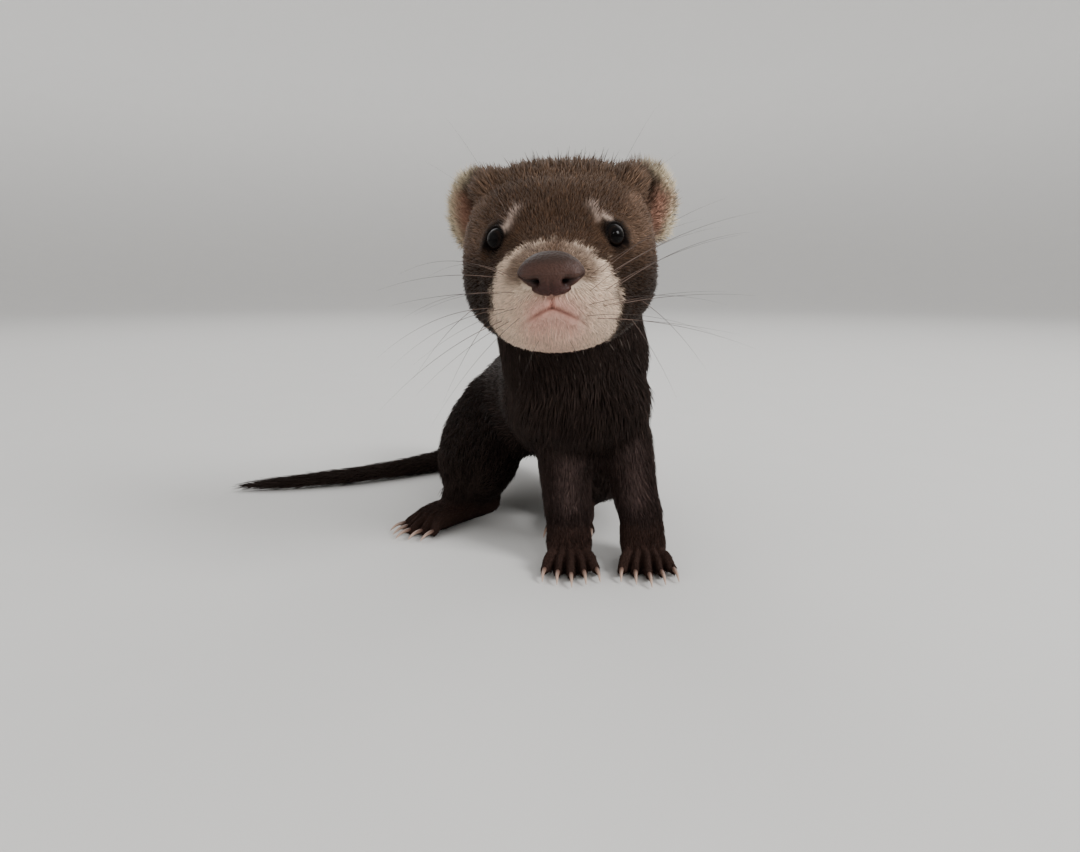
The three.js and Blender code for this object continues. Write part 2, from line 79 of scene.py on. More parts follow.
# Each head section: distance behind the eyes, half width, top, bottom, squareness
HEAD_SECTIONS = [
    (-15.2, 0, -8.5, -8.5, 2.0),
    (-14.0, 6.2, -3.6, -14.2, 2.1),
    (-10.5, 10.4, -1.6, -18.6, 2.2),
    (-6.0, 12.9, 0.8, -21.4, 2.3),
    (0.0, 16.6, 5.2, -22.4, 2.4),
    (7.0, 19.4, 10.8, -22.4, 2.55),
    (14.0, 20.8, 15.8, -21.2, 2.75),
    (21.0, 20.8, 18.8, -19.4, 2.8),
    (28.0, 19.2, 18.6, -16.6, 2.6),
    (34.0, 15.0, 15.0, -12.2, 2.3),
    (39.5, 0, 1.6, 1.6, 2.0),
]

# Swells and hollows of the head, alike on both sides: centre, reach, height
HEAD_SWELLS = [
    ((6.0, -11.5, -9.5), (4.6, 4.5, 4.5), 1.5),
    ((8.5, 0.5, 5.2), (4.5, 5.0, 3.2), 0.9),
    ((19.0, 10.0, -9.0), (6.0, 9.0, 8.0), 0.9),
    ((0, -10.5, -18.5), (4.5, 4.0, 3.0), 1.0),
    ((10.6, -3.5, -1.0), (3.4, 3.4, 3.4), -0.9),
    ((0, 1.0, 5.0), (3.0, 8.0, 4.0), -0.5),
]
# Nose leather from its top to the lip: offset from its centre, half width, reach ahead and behind
NOSE_SECTIONS = [
    (0, 1.6, 3.3, 0, 0, 0),
    (0, 0.6, 2.7, 4.1, 1.8, 3.0),
    (0, 0, 1.4, 5.6, 2.9, 3.4),
    (0, 0, 0.1, 6.0, 3.5, 3.6),
    (0, 0, -1.1, 4.9, 3.4, 3.6),
    (0, 0.1, -2.1, 3.7, 3.2, 3.4),
    (0, 0.3, -3.0, 3.5, 2.9, 3.0),
    (0, 0.9, -3.6, 0, 0, 0),
]
# The other lofts have in each section its centre, half width, reach toward its front and reach away from it
TRUNK_SECTIONS = [
    (10.2, 165.5, 38, 0, 0, 0),
    (10.2, 170, 37.5, 13.0, 13.0, 9.5),
    (9.8, 177, 38, 17.2, 17.5, 13.5),
    (9.0, 186, 38, 18.6, 20.5, 17.5),
    (7.5, 197, 39.0, 18.8, 19.5, 21.0),
    (5.6, 209, 38.0, 18.4, 18.5, 23.0),
    (3.4, 221, 35.0, 18.2, 17.5, 22.0),
    (0.6, 233, 32.0, 18.4, 16.5, 20.0),
    (-2.6, 244, 28.5, 18.6, 16.0, 18.5),
    (-6.0, 255, 25.5, 16.8, 15.0, 16.5),
    (-9.0, 264, 22.5, 12.4, 11.0, 12.0),
    (-11.2, 271, 20.5, 0, 0, 0),
]
NECK_SECTIONS = [
    (10.0, 187, 30, 0, 0, 0),
    (9.6, 186, 37, 16.0, 13.5, 13.5),
    (8.6, 185, 45, 18.6, 16.0, 15.0),
    (7.0, 183.5, 53, 18.4, 16.5, 15.0),
    (5.4, 182, 61, 17.8, 15.5, 14.5),
    (4.4, 181, 69, 16.4, 13.5, 13.0),
    (4.0, 180, 77, 0, 0, 0),
]
RIGHT_WRIST = (6.8, 177.5, 11)
LEFT_WRIST = (24.0, 177.5, 11)
FORELEG_SECTIONS = [
    (1, 7.0, 37, 0, 0, 0),
    (1, 6.5, 31, 9.6, 10.5, 11.0),
    (0.8, 5.2, 21, 8.8, 9.6, 10.0),
    (0.45, 3.4, 12, 7.6, 8.0, 8.2),
    (0.2, 1.5, 4, 6.6, 6.4, 6.4),
    (0, 0, -1, 6.0, 5.2, 5.4),
    (0, -0.6, -4, 0, 0, 0),
]
LEFT_FORELEG_SCALE = 0.92
RIGHT_LEAN = -1.5
LEFT_LEAN = -6.5
FORE_TOES_AT = -6.0
FORE_TOE_LONG = 8.6
FORE_TOE_HIGH = 3.6
FORE_SPREAD = 2.6
FORE_PALM = [
    (0, 1.5, 12, 0, 0, 0),
    (0, 0.8, 10, 5.4, 4.6, 4.6),
    (0, -1.8, 6.8, 5.6, 4.2, 5.0),
    (0, -4.6, 4.2, 5.5, 3.2, 4.4),
    (0, -7.0, 2.8, 4.6, 2.0, 3.0),
    (0, -8.4, 2.2, 0, 0, 0),
]
THIGH_SECTIONS = [
    (-7.0, 254, 29, 0, 0, 0),
    (-10.0, 246, 27, 11.5, 13.0, 12.5),
    (-13.0, 236, 23.5, 13.2, 14.0, 14.5),
    (-16.0, 225, 19.0, 13.6, 13.0, 13.5),
    (-17.5, 213, 15.0, 12.4, 10.5, 10.8),
    (-18.0, 204, 12.5, 9.2, 7.4, 8.4),
    (-18.5, 198, 11.0, 0, 0, 0),
]
SHANK_SECTIONS = [
    (-21.0, 203, 16, 0, 0, 0),
    (-20.5, 204.5, 12.0, 7.0, 6.2, 6.4),
    (-18.5, 208.5, 8.6, 6.0, 5.4, 6.0),
    (-16.5, 212, 5.8, 4.8, 4.4, 4.6),
    (-15.5, 214, 2.8, 0, 0, 0),
]
LEFT_HIND_SHIFT = (-3.5, 3, 0)
RIGHT_HOCK = (-15.5, 212.5)
RIGHT_SPLAY = math.radians(42)
LEFT_HOCK = (11.8, 217)
LEFT_SPLAY = math.radians(10)
TOE_WIDE = 0.78
TOE_TALL = 0.95
CLAW_WIDE = 0.82
HIND_TOES_AT = -19.0
HIND_TOE_LONG = 7.5
HIND_TOE_HIGH = 3.0
HIND_SPREAD = 2.5
HIND_PALM = [
    (0, 4.2, 5.0, 0, 0, 0),
    (0, 2.0, 4.8, 4.2, 3.6, 5.0),
    (0, -6.0, 4.4, 4.8, 3.4, 4.8),
    (0, -14.0, 4.0, 5.6, 3.2, 4.4),
    (0, -20.0, 3.2, 5.8, 2.6, 3.6),
    (0, -24.0, 2.4, 0, 0, 0),
]
TOE_RADIUS = 1.5
CLAW_RADIUS = 0.6
TAIL_SECTIONS = [
    (-6.0, 257, 23, 0, 0, 0),
    (-9.0, 264, 20.0, 7.2, 6.8, 6.8),
    (-14.0, 270, 13.5, 5.6, 5.4, 5.4),
    (-22.5, 269.0, 7.0, 4.6, 4.4, 4.4),
    (-33.5, 260.5, 3.9, 4.0, 3.8, 4.1),
    (-47.0, 250.5, 3.2, 3.4, 3.2, 3.4),
    (-60.0, 243, 2.9, 3.1, 2.9, 3.1),
    (-74.0, 238, 2.5, 2.7, 2.5, 2.7),
    (-86.0, 235.5, 2.0, 2.1, 1.9, 2.2),
    (-95.0, 234.5, 1.5, 0, 0, 0),
]
# Each foot: palm, where the toes start, their reach, spread and height, the foot's turn and its place
FEET = [
    (FORE_PALM, FORE_TOES_AT, FORE_TOE_LONG, FORE_SPREAD, FORE_TOE_HIGH, 0, RIGHT_WRIST),
    (FORE_PALM, FORE_TOES_AT, FORE_TOE_LONG, FORE_SPREAD, FORE_TOE_HIGH, 0, LEFT_WRIST),
    (HIND_PALM, HIND_TOES_AT, HIND_TOE_LONG, HIND_SPREAD, HIND_TOE_HIGH, RIGHT_SPLAY, RIGHT_HOCK),
    (HIND_PALM, HIND_TOES_AT, HIND_TOE_LONG, HIND_SPREAD, HIND_TOE_HIGH, LEFT_SPLAY, LEFT_HOCK),
]

# Half the width kept for a foot, the ways up and ahead, and the cell size of the skin before it is refined
FOOT_WIDE = 9
UP = np.array([0.0, 0.0, 1.0])
AHEAD = np.array([0.0, -1.0, 0.0])
VOXEL = 0.75

# The front of the chest is drawn back over the forelegs: how far, at what height and how far up and down
CHEST_BACK = 2.6
CHEST_HEIGHT = 35
CHEST_TALL = 9.0

# The photograph's camera, in the drawing frame
CAMERA_HEIGHT = 67.0
CAMERA_PITCH = math.radians(11.2)
CAMERA_LENS = 26.13

# The kinds of flesh, then the coat by region: depth of the skin below the tips, then each tuft's
# length, width, number in a square millimetre, and how far it stands up, in radians
KINDS = ["head", "neck", "trunk", "foreleg", "hindleg", "tail", "paw", "ear"]
COATS = {
    "head": (1.6, 3.2, 0.20, 7.0, 0.32),
    "neck": (2.2, 4.2, 0.22, 5.6, 0.26),
    "trunk": (3.0, 6.6, 0.28, 3.9, 0.28),
    "foreleg": (1.4, 3.4, 0.20, 6.0, 0.26),
    "hindleg": (2.4, 5.2, 0.26, 4.2, 0.28),
    "tail": (1.1, 4.4, 0.20, 6.0, 0.26),
    "paw": (0.28, 1.2, 0.13, 9.0, 0.22),
    "ear": (0.18, 1.5, 0.12, 9.0, 0.45),
    "muzzle": (0.60, 1.75, 0.16, 11.0, 0.26),
    "lip": (0.30, 0.75, 0.12, 8.0, 0.16),
    "eye": (0.40, 1.0, 0.13, 13.0, 0.22),
    "forehead": (1.1, 2.6, 0.19, 8.5, 0.30),
    "crown": (2.7, 4.2, 0.20, 7.5, 0.52),
    "by_ear": (2.7, 4.0, 0.19, 9.0, 0.50),
    "over_ear": (1.1, 5.2, 0.20, 9.0, 0.80),
    "wrist": (0.85, 2.4, 0.17, 8.0, 0.24),
    "ear_rim": (0.18, 3.0, 0.15, 12.0, 0.50),
    "ear_root": (0.18, 3.6, 0.17, 10.0, 0.60),
}
COAT_PIECES = {
    "coat_head": ["head"],
    "coat_front": ["neck", "foreleg"],
    "coat_back": ["trunk"],
    "coat_hind": ["hindleg", "tail"],
    "coat_feet": ["paw", "ear"],
}

# A tuft shorter than SHORT is a plain point. Then for every tuft the spread of its swing and its tone,
# the depth of its root and its thickness for its width. Last come shares: of the dark tufts that are
# paler, and as many that are darker, of the throat's that are pale, and of the crown's that stand up.
SHORT = 1.5
SWING_SPREAD = 0.13
TONE_SPREAD = 0.11
ROOT_DEPTH = 0.08
TUFT_THICK = 0.45
FLECK_SHARE = 0.10
THROAT_HAIR_SHARE = 0.015
CREST_SHARE = 0.05


def turned(yaw, roll):
    return np.array(Matrix.Rotation(yaw, 3, "Z") @ Matrix.Rotation(roll, 3, "Y"))


HEAD_TURN = turned(HEAD_YAW, HEAD_ROLL)


def from_head(points):
    return np.asarray(points, float) @ HEAD_TURN.T + HEAD_AT


def to_head(points):
    return (np.asarray(points, float) - HEAD_AT) @ HEAD_TURN


def drawing_to_part():
    """How far the solids were moved after they were drawn, read from where the eyes are."""
    boxes = [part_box("eye_right"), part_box("eye_left")]
    middle = np.mean([np.array(corner) for pair in boxes for corner in pair], axis=0)
    return middle - from_head([[0, EYE_DEPTH, 0]])[0] / 1000


SHIFT = drawing_to_part()


def metres(points):
    return np.asarray(points, float) / 1000 + SHIFT


# Small helpers on numbers
def unit(v):
    return v / np.maximum(np.linalg.norm(v, axis=-1, keepdims=True), 1e-9)


def step(low, high, x):
    t = np.clip((x - low) / (high - low), 0, 1)
    return t * t * (3 - 2 * t)


def bell(x, width):
    return np.exp(-((x / width) ** 2))


def of_kind(kind, *names):
    return np.isin(kind, [KINDS.index(name) for name in names])


def one_side(points):
    """Places on either side of the middle plane, all taken to the animal's left."""
    return np.abs(points * [1, 0, 0]) + points * [0, 1, 1]


def through(rows, t):
    """A smooth run through the rows, for shares t of the whole."""
    rows = np.asarray(rows, float)
    ends = np.vstack([2 * rows[0] - rows[1], rows, 2 * rows[-1] - rows[-2]])
    place = np.clip(t, 0, 1) * (len(rows) - 1)
    i = np.minimum(place.astype(int), len(rows) - 2)
    w = (place - i)[:, None]
    a, b, c, d = ends[i], ends[i + 1], ends[i + 2], ends[i + 3]
    m0, m1 = (c - a) / 2, (d - b) / 2
    return b + m0 * w + (3 * (c - b) - 2 * m0 - m1) * w**2 + (2 * (b - c) + m0 + m1) * w**3


def noise(points, size, seed=0):
    """Smooth random values from -1 to 1 in space, with lumps about size across."""
    p = np.asarray(points, float) / size + 100.0 + seed * 17.3
    cell = np.floor(p).astype(np.int64)
    f = p - cell
    f = f * f * (3 - 2 * f)
    total = np.zeros(len(p))
    for corner in range(8):
        o = np.array([corner & 1, corner >> 1 & 1, corner >> 2 & 1])
        c = cell + o
        h = (c[:, 0] * 73856093) ^ (c[:, 1] * 19349663) ^ (c[:, 2] * 83492791) ^ (seed * 2654435)
        h = (h * 1103515245 + 12345) & 0x7FFFFFFF
        h = (h ^ (h >> 13)) * 60493 & 0x7FFFFFFF
        weight = np.prod(np.where(o, f, 1 - f), axis=1)
        total += weight * (h / 0x3FFFFFFF - 1)
    return total


def segment_far(points, start, end):
    """Distance of each point from a short straight line."""
    start, end = np.asarray(start, float), np.asarray(end, float)
    way = end - start
    t = np.clip(((points - start) @ way) / (way @ way), 0, 1)
    return np.linalg.norm(points - start - t[:, None] * way, axis=1)


# Forms: each is a closed loft with the way the coat lies at every point
def ring_faces(rows, around):
    faces = []
    last = rows * around + 1
    for j in range(around):
        k = (j + 1) % around
        faces.append((0, 1 + k, 1 + j))
        faces.append((last, 1 + (rows - 1) * around + j, 1 + (rows - 1) * around + k))
    i, j = np.meshgrid(np.arange(rows - 1), np.arange(around), indexing="ij")
    k = (j + 1) % around
    here, ahead = 1 + i * around, 1 + (i + 1) * around
    quads = np.stack([here + j, here + k, ahead + k, ahead + j], -1)
    return faces + [tuple(q) for q in quads.reshape(-1, 4).tolist()]


def superellipse(around, square):
    angle = 2 * math.pi * np.arange(around) / around
    c, s = np.cos(angle), np.sin(angle)
    return np.sign(c) * np.abs(c) ** (2 / square), np.sign(s) * np.abs(s) ** (2 / square)


def ring_chart(run, around):
    """The place of every point of a loft on its own chart: share of the turn, share of the run."""
    turn = np.concatenate([[0], np.tile(np.arange(around) / around, len(run)), [0]])
    return np.stack([turn, np.concatenate([[0], np.repeat(run, around), [1]])], 1)


def loft(sections, around, along, front):
    """A closed form through the sections, whose first reach is toward the front."""
    sections = np.asarray(sections, float)
    share = np.linspace(0, 1, along)
    t = 0.5 - 0.5 * np.cos(np.pi * share) * (0.55 + 0.45 * np.abs(2 * share - 1))
    t = 0.006 + 0.988 * t
    middle = through(sections[:, :3], t)
    ahead = unit(through(sections[:, :3], t + 1e-4) - through(sections[:, :3], t - 1e-4))
    size = np.sqrt(np.maximum(through(sections[:, 3:] ** 2, t), 0))
    side = unit(np.cross(ahead, front))
    up = unit(np.cross(side, ahead))
    across, rise = superellipse(around, 2.15)
    tall = np.where(rise[None] > 0, size[:, 1:2], size[:, 2:3]) * rise[None]
    wide = size[:, :1] * -across[None]
    points = middle[:, None] + side[:, None] * wide[..., None] + up[:, None] * tall[..., None]
    lie = np.repeat(ahead, around, axis=0)
    points = np.vstack([sections[:1, :3], points.reshape(-1, 3), sections[-1:, :3]])
    lie = np.vstack([ahead[:1], lie, ahead[-1:]])
    return points, ring_faces(along, around), lie, ring_chart(t, around)


def head_form(around=150, along=120):
    rows = np.asarray(HEAD_SECTIONS, float)
    even = np.linspace(0, 1, along)
    t = 0.004 + 0.992 * (0.5 * (0.5 - 0.5 * np.cos(np.pi * even)) + 0.5 * even)
    zero = np.zeros(len(rows))
    middle = through(np.stack([zero, rows[:, 0], (rows[:, 2] + rows[:, 3]) / 2], 1), t)
    size = np.sqrt(np.maximum(through(np.stack([rows[:, 1], (rows[:, 2] - rows[:, 3]) / 2], 1) ** 2, t), 0))
    shape = through(rows[:, 4:5], t)[:, 0]
    rings = []
    for centre, (wide, tall), square in zip(middle, size, shape):
        across, rise = superellipse(around, square)
        forward = (centre[1] + 6) * 1.2 if centre[1] < -6 else 0
        out = np.stack([-across * wide, np.full(around, forward), rise * tall], 1)
        points = centre + out * [1, 0, 1]
        far = np.zeros(around)
        for at, reach, height in HEAD_SWELLS:
            d = (one_side(points) - at) / reach
            far += height * np.exp(-(d**2).sum(1))
        rings.append(points + unit(out) * far[:, None])
    points = np.vstack([middle[:1], np.vstack(rings), middle[-1:]])
    lie = unit(points - [0, -19.0, -6.0])
    return from_head(points), ring_faces(along, around), lie @ HEAD_TURN.T, ring_chart(t, around)


def ear_turn(side):
    return np.array(Matrix.Rotation(side * EAR_TURN, 3, "Z") @ Matrix.Rotation(side * EAR_LEAN, 3, "Y"))


def to_ear(h):
    """Places in the head's frame taken to the ear on their own side, as outward, back and up."""
    local = np.zeros_like(h)
    for side in (-1, 1):
        own = h[:, 0] * side > 0
        local[own] = (h[own] - EAR_AT * [side, 1, 1]) @ ear_turn(side) * [side, 1, 1]
    return local


def ear_reach(e):
    """How far out on the ear's oval a place is: 1 at its rim."""
    return np.hypot(e[:, 0] / EAR_SIZE[0], e[:, 2] / EAR_SIZE[2])


def ear_form(side):
    """A cup open to the front: an outer and an inner bowl that meet in a rounded rim."""
    around, deep = 72, 28
    rim = 0.43 * math.pi
    arc = np.concatenate([np.linspace(0, rim, deep), np.linspace(rim, 0, deep)])
    outer = np.concatenate([np.ones(deep), np.zeros(deep)])
    angle = 2 * math.pi * np.arange(around) / around
    rings = []
    for a, shell in zip(arc, outer):
        size = EAR_SIZE - (0 if shell else EAR_WALL * 0.9)
        back = math.cos(a) * size[1] - (0 if shell else 0.9)
        across = np.cos(angle) * math.sin(a) * size[0]
        rise = np.sin(angle) * math.sin(a) * size[2]
        rings.append(np.stack([across, np.full(around, back), rise], 1))
    cup = np.vstack([rings[0].mean(0)[None], np.vstack(rings[1:-1]), rings[-1].mean(0)[None]])
    rows = 2 * deep - 2
    lie = unit(cup * [1, 0, 1] + [0, 0, 3.0])
    place = ear_turn(side)
    shape = from_head(cup @ place.T + EAR_AT * [side, 1, 1])
    lie = lie @ place.T @ HEAD_TURN.T
    return shape, ring_faces(rows, around), lie, ring_chart(np.arange(rows) / rows, around)


def foreleg_form(wrist, scale, lean):
    rows = [
        (wrist[0] + x * lean, wrist[1] + y, wrist[2] + z, w * scale, a * scale, b * scale)
        for x, y, z, w, a, b in FORELEG_SECTIONS
    ]
    return loft(rows, 72, 60, AHEAD)


def toe_rows(base, reach, aside, height, radius):
    tip = (base[0] + aside, base[1] - reach, radius * 0.85)
    knuckle = (base[0] + aside * 0.55, base[1] - reach * 0.55, height * 0.8 + radius * 0.35)
    return tip, [
        (base[0], base[1] + 1.5, base[2], 0, 0, 0),
        (*base, radius * TOE_WIDE, radius * TOE_TALL, radius * TOE_TALL),
        (*knuckle, radius * TOE_WIDE * 1.05, radius * TOE_TALL * 1.05, radius * TOE_TALL * 1.05),
        (*tip, radius * TOE_WIDE, radius * TOE_TALL * 0.9, radius * TOE_TALL),
        (tip[0] + aside * 0.12, tip[1] - radius * 1.2, tip[2], 0, 0, 0),
    ]


def claw_rows(tip, aside):
    thick = CLAW_RADIUS * CLAW_WIDE
    return [
        (tip[0], tip[1] + 0.4, tip[2] + 0.35, 0, 0, 0),
        (tip[0], tip[1] - 0.8, tip[2] + 0.5, thick, thick, thick),
        (tip[0] + aside * 0.12, tip[1] - 2.8, tip[2] + 0.35, thick * 0.72, thick * 0.75, thick * 0.8),
        (tip[0] + aside * 0.16, tip[1] - 4.2, tip[2] - 0.25, thick * 0.42, thick * 0.45, thick * 0.5),
        (tip[0] + aside * 0.2, tip[1] - 5.0, tip[2] - 0.85, 0, 0, 0),
    ]


def foot_forms(palm, toe_base, toe_reach, spread, height, turn, at):
    """The palm and the toes of one foot, and its claws, turned to their place."""
    steep = palm[0][2] - palm[-1][2] > (palm[0][1] - palm[-1][1]) * 0.8
    flesh = [loft(palm, 56, 40, unit(AHEAD + UP) if steep else UP)]
    claws = []
    for i in range(-2, 3):
        outer = abs(i) / 2
        base = (i * spread * 0.62, toe_base + outer * 1.8, height * (1 - outer * 0.25))
        tip, rows = toe_rows(base, toe_reach - outer * 1.2, i * spread * 0.5, height, TOE_RADIUS)
        flesh.append(loft(rows, 32, 24, UP))
        claws.append(loft(claw_rows(tip, i * spread * 0.5), 14, 18, UP))
    place = np.array(Matrix.Rotation(-turn, 3, "Z"))

    def placed(form):
        points, faces, lie, chart = form
        return points @ place.T + [at[0], at[1], 0], faces, lie @ place.T, chart

    return [placed(f) for f in flesh], [placed(c) for c in claws]


def mirrored(form, shift):
    points, faces, lie, chart = form
    flip = np.array([-1.0, 1, 1])
    return points * flip + shift, [tuple(reversed(f)) for f in faces], lie * flip, chart


def body_forms():
    """Every form of flesh, with the name of its kind of coat, then the claws."""
    forms = [("head", head_form()), ("trunk", loft(TRUNK_SECTIONS, 150, 150, UP))]
    points, faces, lie, chart = loft(NECK_SECTIONS, 130, 70, AHEAD)
    forms.append(("neck", (points, faces, -lie, chart)))
    forms.append(("foreleg", foreleg_form(RIGHT_WRIST, 1, RIGHT_LEAN)))
    forms.append(("foreleg", foreleg_form(LEFT_WRIST, LEFT_FORELEG_SCALE, LEFT_LEAN)))
    for part in (loft(THIGH_SECTIONS, 100, 70, UP), loft(SHANK_SECTIONS, 60, 34, AHEAD)):
        forms.append(("hindleg", part))
        forms.append(("hindleg", mirrored(part, LEFT_HIND_SHIFT)))
    forms.append(("tail", loft(TAIL_SECTIONS, 44, 240, UP)))
    feet = [foot_forms(*foot) for foot in FEET]
    forms += [("paw", form) for flesh, _ in feet for form in flesh]
    forms += [("ear", ear_form(side)) for side in (-1, 1)]
    return forms, [claw for _, claws in feet for claw in claws]


# Meshes in and out of Blender
def new_piece(name, points, faces, material=None):
    mesh = bpy.data.meshes.new(name)
    mesh.from_pydata(np.asarray(points).tolist(), [], faces)
    mesh.validate()
    piece = bpy.data.objects.new(name, mesh)
    bpy.context.scene.collection.objects.link(piece)
    if material:
        mesh.materials.append(material)
    mesh.shade_smooth()
    return piece


def joined(forms):
    """The points and faces of several closed forms as one list of each."""
    points, faces, count = [], [], 0
    for form in forms:
        points.append(form[0])
        faces += [tuple(i + count for i in face) for face in form[1]]
        count += len(form[0])
    return np.vstack(points), faces


def fused(forms):
    """One closed surface over all the forms, in the drawing frame, as triangles."""
    points, faces = joined(forms)
    piece = new_piece("fusing", points / 1000, faces)
    remesh = piece.modifiers.new("remesh", "REMESH")
    remesh.mode = "VOXEL"
    remesh.voxel_size = VOXEL / 1000
    mesh = bpy.data.meshes.new_from_object(piece.evaluated_get(bpy.context.evaluated_depsgraph_get()))
    places = np.empty(len(mesh.vertices) * 3, np.float32)
    mesh.vertices.foreach_get("co", places)
    corners = np.empty(len(mesh.loops), np.int32)
    mesh.loops.foreach_get("vertex_index", corners)
    bpy.data.objects.remove(piece)
    quads = corners.reshape(-1, 4).astype(np.int64)
    return places.reshape(-1, 3).astype(float) * 1000, np.vstack([quads[:, [0, 1, 2]], quads[:, [0, 2, 3]]])


def refined(points, triangles, chosen):
    """Triangles split at the middle of every edge that lies in the chosen place."""
    count = len(points)
    edges = np.sort(np.vstack([triangles[:, [0, 1]], triangles[:, [1, 2]], triangles[:, [2, 0]]]), 1)
    keys, index = np.unique(edges[:, 0] * count + edges[:, 1], return_inverse=True)
    middle = (points[keys // count] + points[keys % count]) / 2
    split = chosen(middle)
    number = np.where(split, count + np.cumsum(split) - 1, -1)
    m = number[index].reshape(3, -1).T
    out = []
    for first in range(3):
        t, e = np.roll(triangles, -first, 1), np.roll(m, -first, 1)
        a, b, c = t.T
        one = (e[:, 0] >= 0) & (e[:, 1] < 0) & (e[:, 2] < 0)
        out += [np.stack(x, 1)[one] for x in ((a, e[:, 0], c), (e[:, 0], b, c))]
        two = (e[:, 0] >= 0) & (e[:, 1] >= 0) & (e[:, 2] < 0)
        for x in ((e[:, 0], b, e[:, 1]), (a, e[:, 0], e[:, 1]), (a, e[:, 1], c)):
            out.append(np.stack(x, 1)[two])
    a, b, c = triangles.T
    ab, bc, ca = m.T
    none, every = (m < 0).all(1), (m >= 0).all(1)
    out.append(triangles[none])
    for x in ((a, ab, ca), (ab, b, bc), (ca, bc, c), (ab, bc, ca)):
        out.append(np.stack(x, 1)[every])
    return np.vstack([points, middle[split]]), np.vstack(out)


def vertex_normals(points, triangles):
    a, b, c = (points[triangles[:, i]] for i in range(3))
    face = np.cross(b - a, c - a)
    total = np.zeros_like(points)
    for i in range(3):
        for axis in range(3):
            total[:, axis] += np.bincount(triangles[:, i], face[:, axis], len(points))
    return unit(total)


class Weave:
    """The neighbours of each point of the skin, for evening out places and values."""

    def __init__(self, count, triangles):
        pairs = np.vstack([triangles[:, [i, (i + 1) % 3]] for i in range(3)])
        pairs = np.vstack([pairs, pairs[:, ::-1]])
        pairs = np.unique(pairs[:, 0] * count + pairs[:, 1])
        self.a = pairs // count
        self.b = pairs % count
        self.count = count
        self.degree = np.maximum(np.bincount(self.a, minlength=count), 1)

    def even(self, values, rounds, weight=1.0):
        values = np.array(values, float)
        flat = values.ndim == 1
        values = values[:, None] if flat else values
        weight = np.broadcast_to(np.asarray(weight, float), (self.count,))[:, None]
        for _ in range(rounds):
            mean = np.stack([
                np.bincount(self.a, values[self.b, k], self.count) for k in range(values.shape[1])
            ], 1) / self.degree[:, None]
            values += (mean - values) * weight * 0.6
        return values[:, 0] if flat else values


# Colours
def linear(colour):
    c = np.asarray(colour, float) / 255
    return np.where(c <= 0.04045, c / 12.92, ((c + 0.055) / 1.055) ** 2.4)


DARK_FUR = linear((46, 36, 32))
LEG_FUR = linear((50, 38, 35))
BROWN_FUR = linear((77, 57, 43))
CROWN_FUR = linear((98, 77, 61))
CHEEK_FUR = linear((42, 28, 18))
MASK_FUR = linear((234, 210, 188))
PALE_SIDE_FUR = linear((132, 106, 88))
PINK_FUR = linear((226, 182, 166))
BRIDGE_FUR = linear((110, 84, 66))
LIP_SKIN = linear((206, 146, 132))
# The mouth's line: darker lip skin with painted shade of its crease
MOUTH_SKIN_AND_SHADE = linear((118, 76, 66))
EAR_RIM_FUR = linear((226, 212, 184))
EAR_SKIN = linear((186, 142, 122))
EAR_ROOT_FUR = linear((82, 64, 52))
BROW_FUR = linear((186, 164, 150))
LID_SKIN = linear((14, 9, 8))
# Painted sheen: the lighter colour of a highlight down the front of each foreleg
SHEEN_HIGHLIGHT_FUR = linear((104, 86, 82))
PAW_FUR = linear((52, 37, 32))
THROAT_HAIR = linear((96, 88, 82))
LEATHER = linear((66, 44, 37))
LEATHER_LOW = linear((54, 28, 24))
LEATHER_TOP = linear((44, 31, 24))
LEATHER_SIDE = linear((48, 33, 29))
# Painted shade inside the nostrils
NOSTRIL_SHADE = linear((16, 8, 8))
PUPIL = linear((6, 4, 4))
IRIS = linear((22, 14, 10))
EYE_EDGE = linear((12, 9, 8))
CLAW_ROOT = linear((88, 64, 56))
CLAW_TIP = linear((188, 158, 140))
WHISKER_ROOT = linear((104, 84, 74))
WHISKER_TIP = linear((62, 52, 48))
# The stage's painted light: its floor darker further out and its wall lighter, to even out how bright they
# look under the lamps
FLOOR_NEAR = (0.67, 0.66, 0.64)
FLOOR_FAR = (0.60, 0.59, 0.575)
WALL = (0.96, 0.95, 0.93)

# Brow marks as seen from the front: start, end, half width
BROWS = [
    ((-9.4, 2.4), (-7.4, 5.2), 0.75),
    ((6.7, 5.8), (8.1, 3.4), 0.55),
    ((9.2, 4.2), (10.6, 3.4), 0.45),
]


def mix(a, b, share):
    """From a to b by the share at each point. Either may be one colour for all of them."""
    share = np.asarray(share)[:, None]
    return np.asarray(a) * (1 - share) + np.asarray(b) * share


def layered(base, *layers):
    """The base with each layer's colour, or row of the coat, mixed over it by the layer's share."""
    for value, share in layers:
        base = mix(base, value, share)
    return base


def mask_share(h):
    """The pale mask over the muzzle, lips and chin, from 0 to 1."""
    ragged = noise(h, 1.0, 3) * 0.09 + noise(h, 3.5, 4) * 0.06
    tall = np.where(h[:, 2] > -11.9, 11.2, 12.5)
    far = np.hypot(h[:, 0] / 11.7, (h[:, 2] + 11.9) / tall)
    return step(1.05, 0.93, far + ragged) * step(3.0, 0.0, h[:, 1])


def mouth_line(x):
    """The height of the mouth's line across the muzzle: a shallow roof, with its corners turned down."""
    share = np.abs(x) / MOUTH_WIDE
    return MOUTH_TOP - MOUTH_DROP * np.minimum(share, 1.2) ** 1.35


def lips(h):
    """A point's height above the mouth's line, and a share that fades outward from the lips."""
    above = h[:, 2] - mouth_line(h[:, 0])
    fade = step(MOUTH_WIDE * 1.2, MOUTH_WIDE * 0.35, np.abs(h[:, 0])) * step(-7.0, -9.0, h[:, 1])
    return above, fade


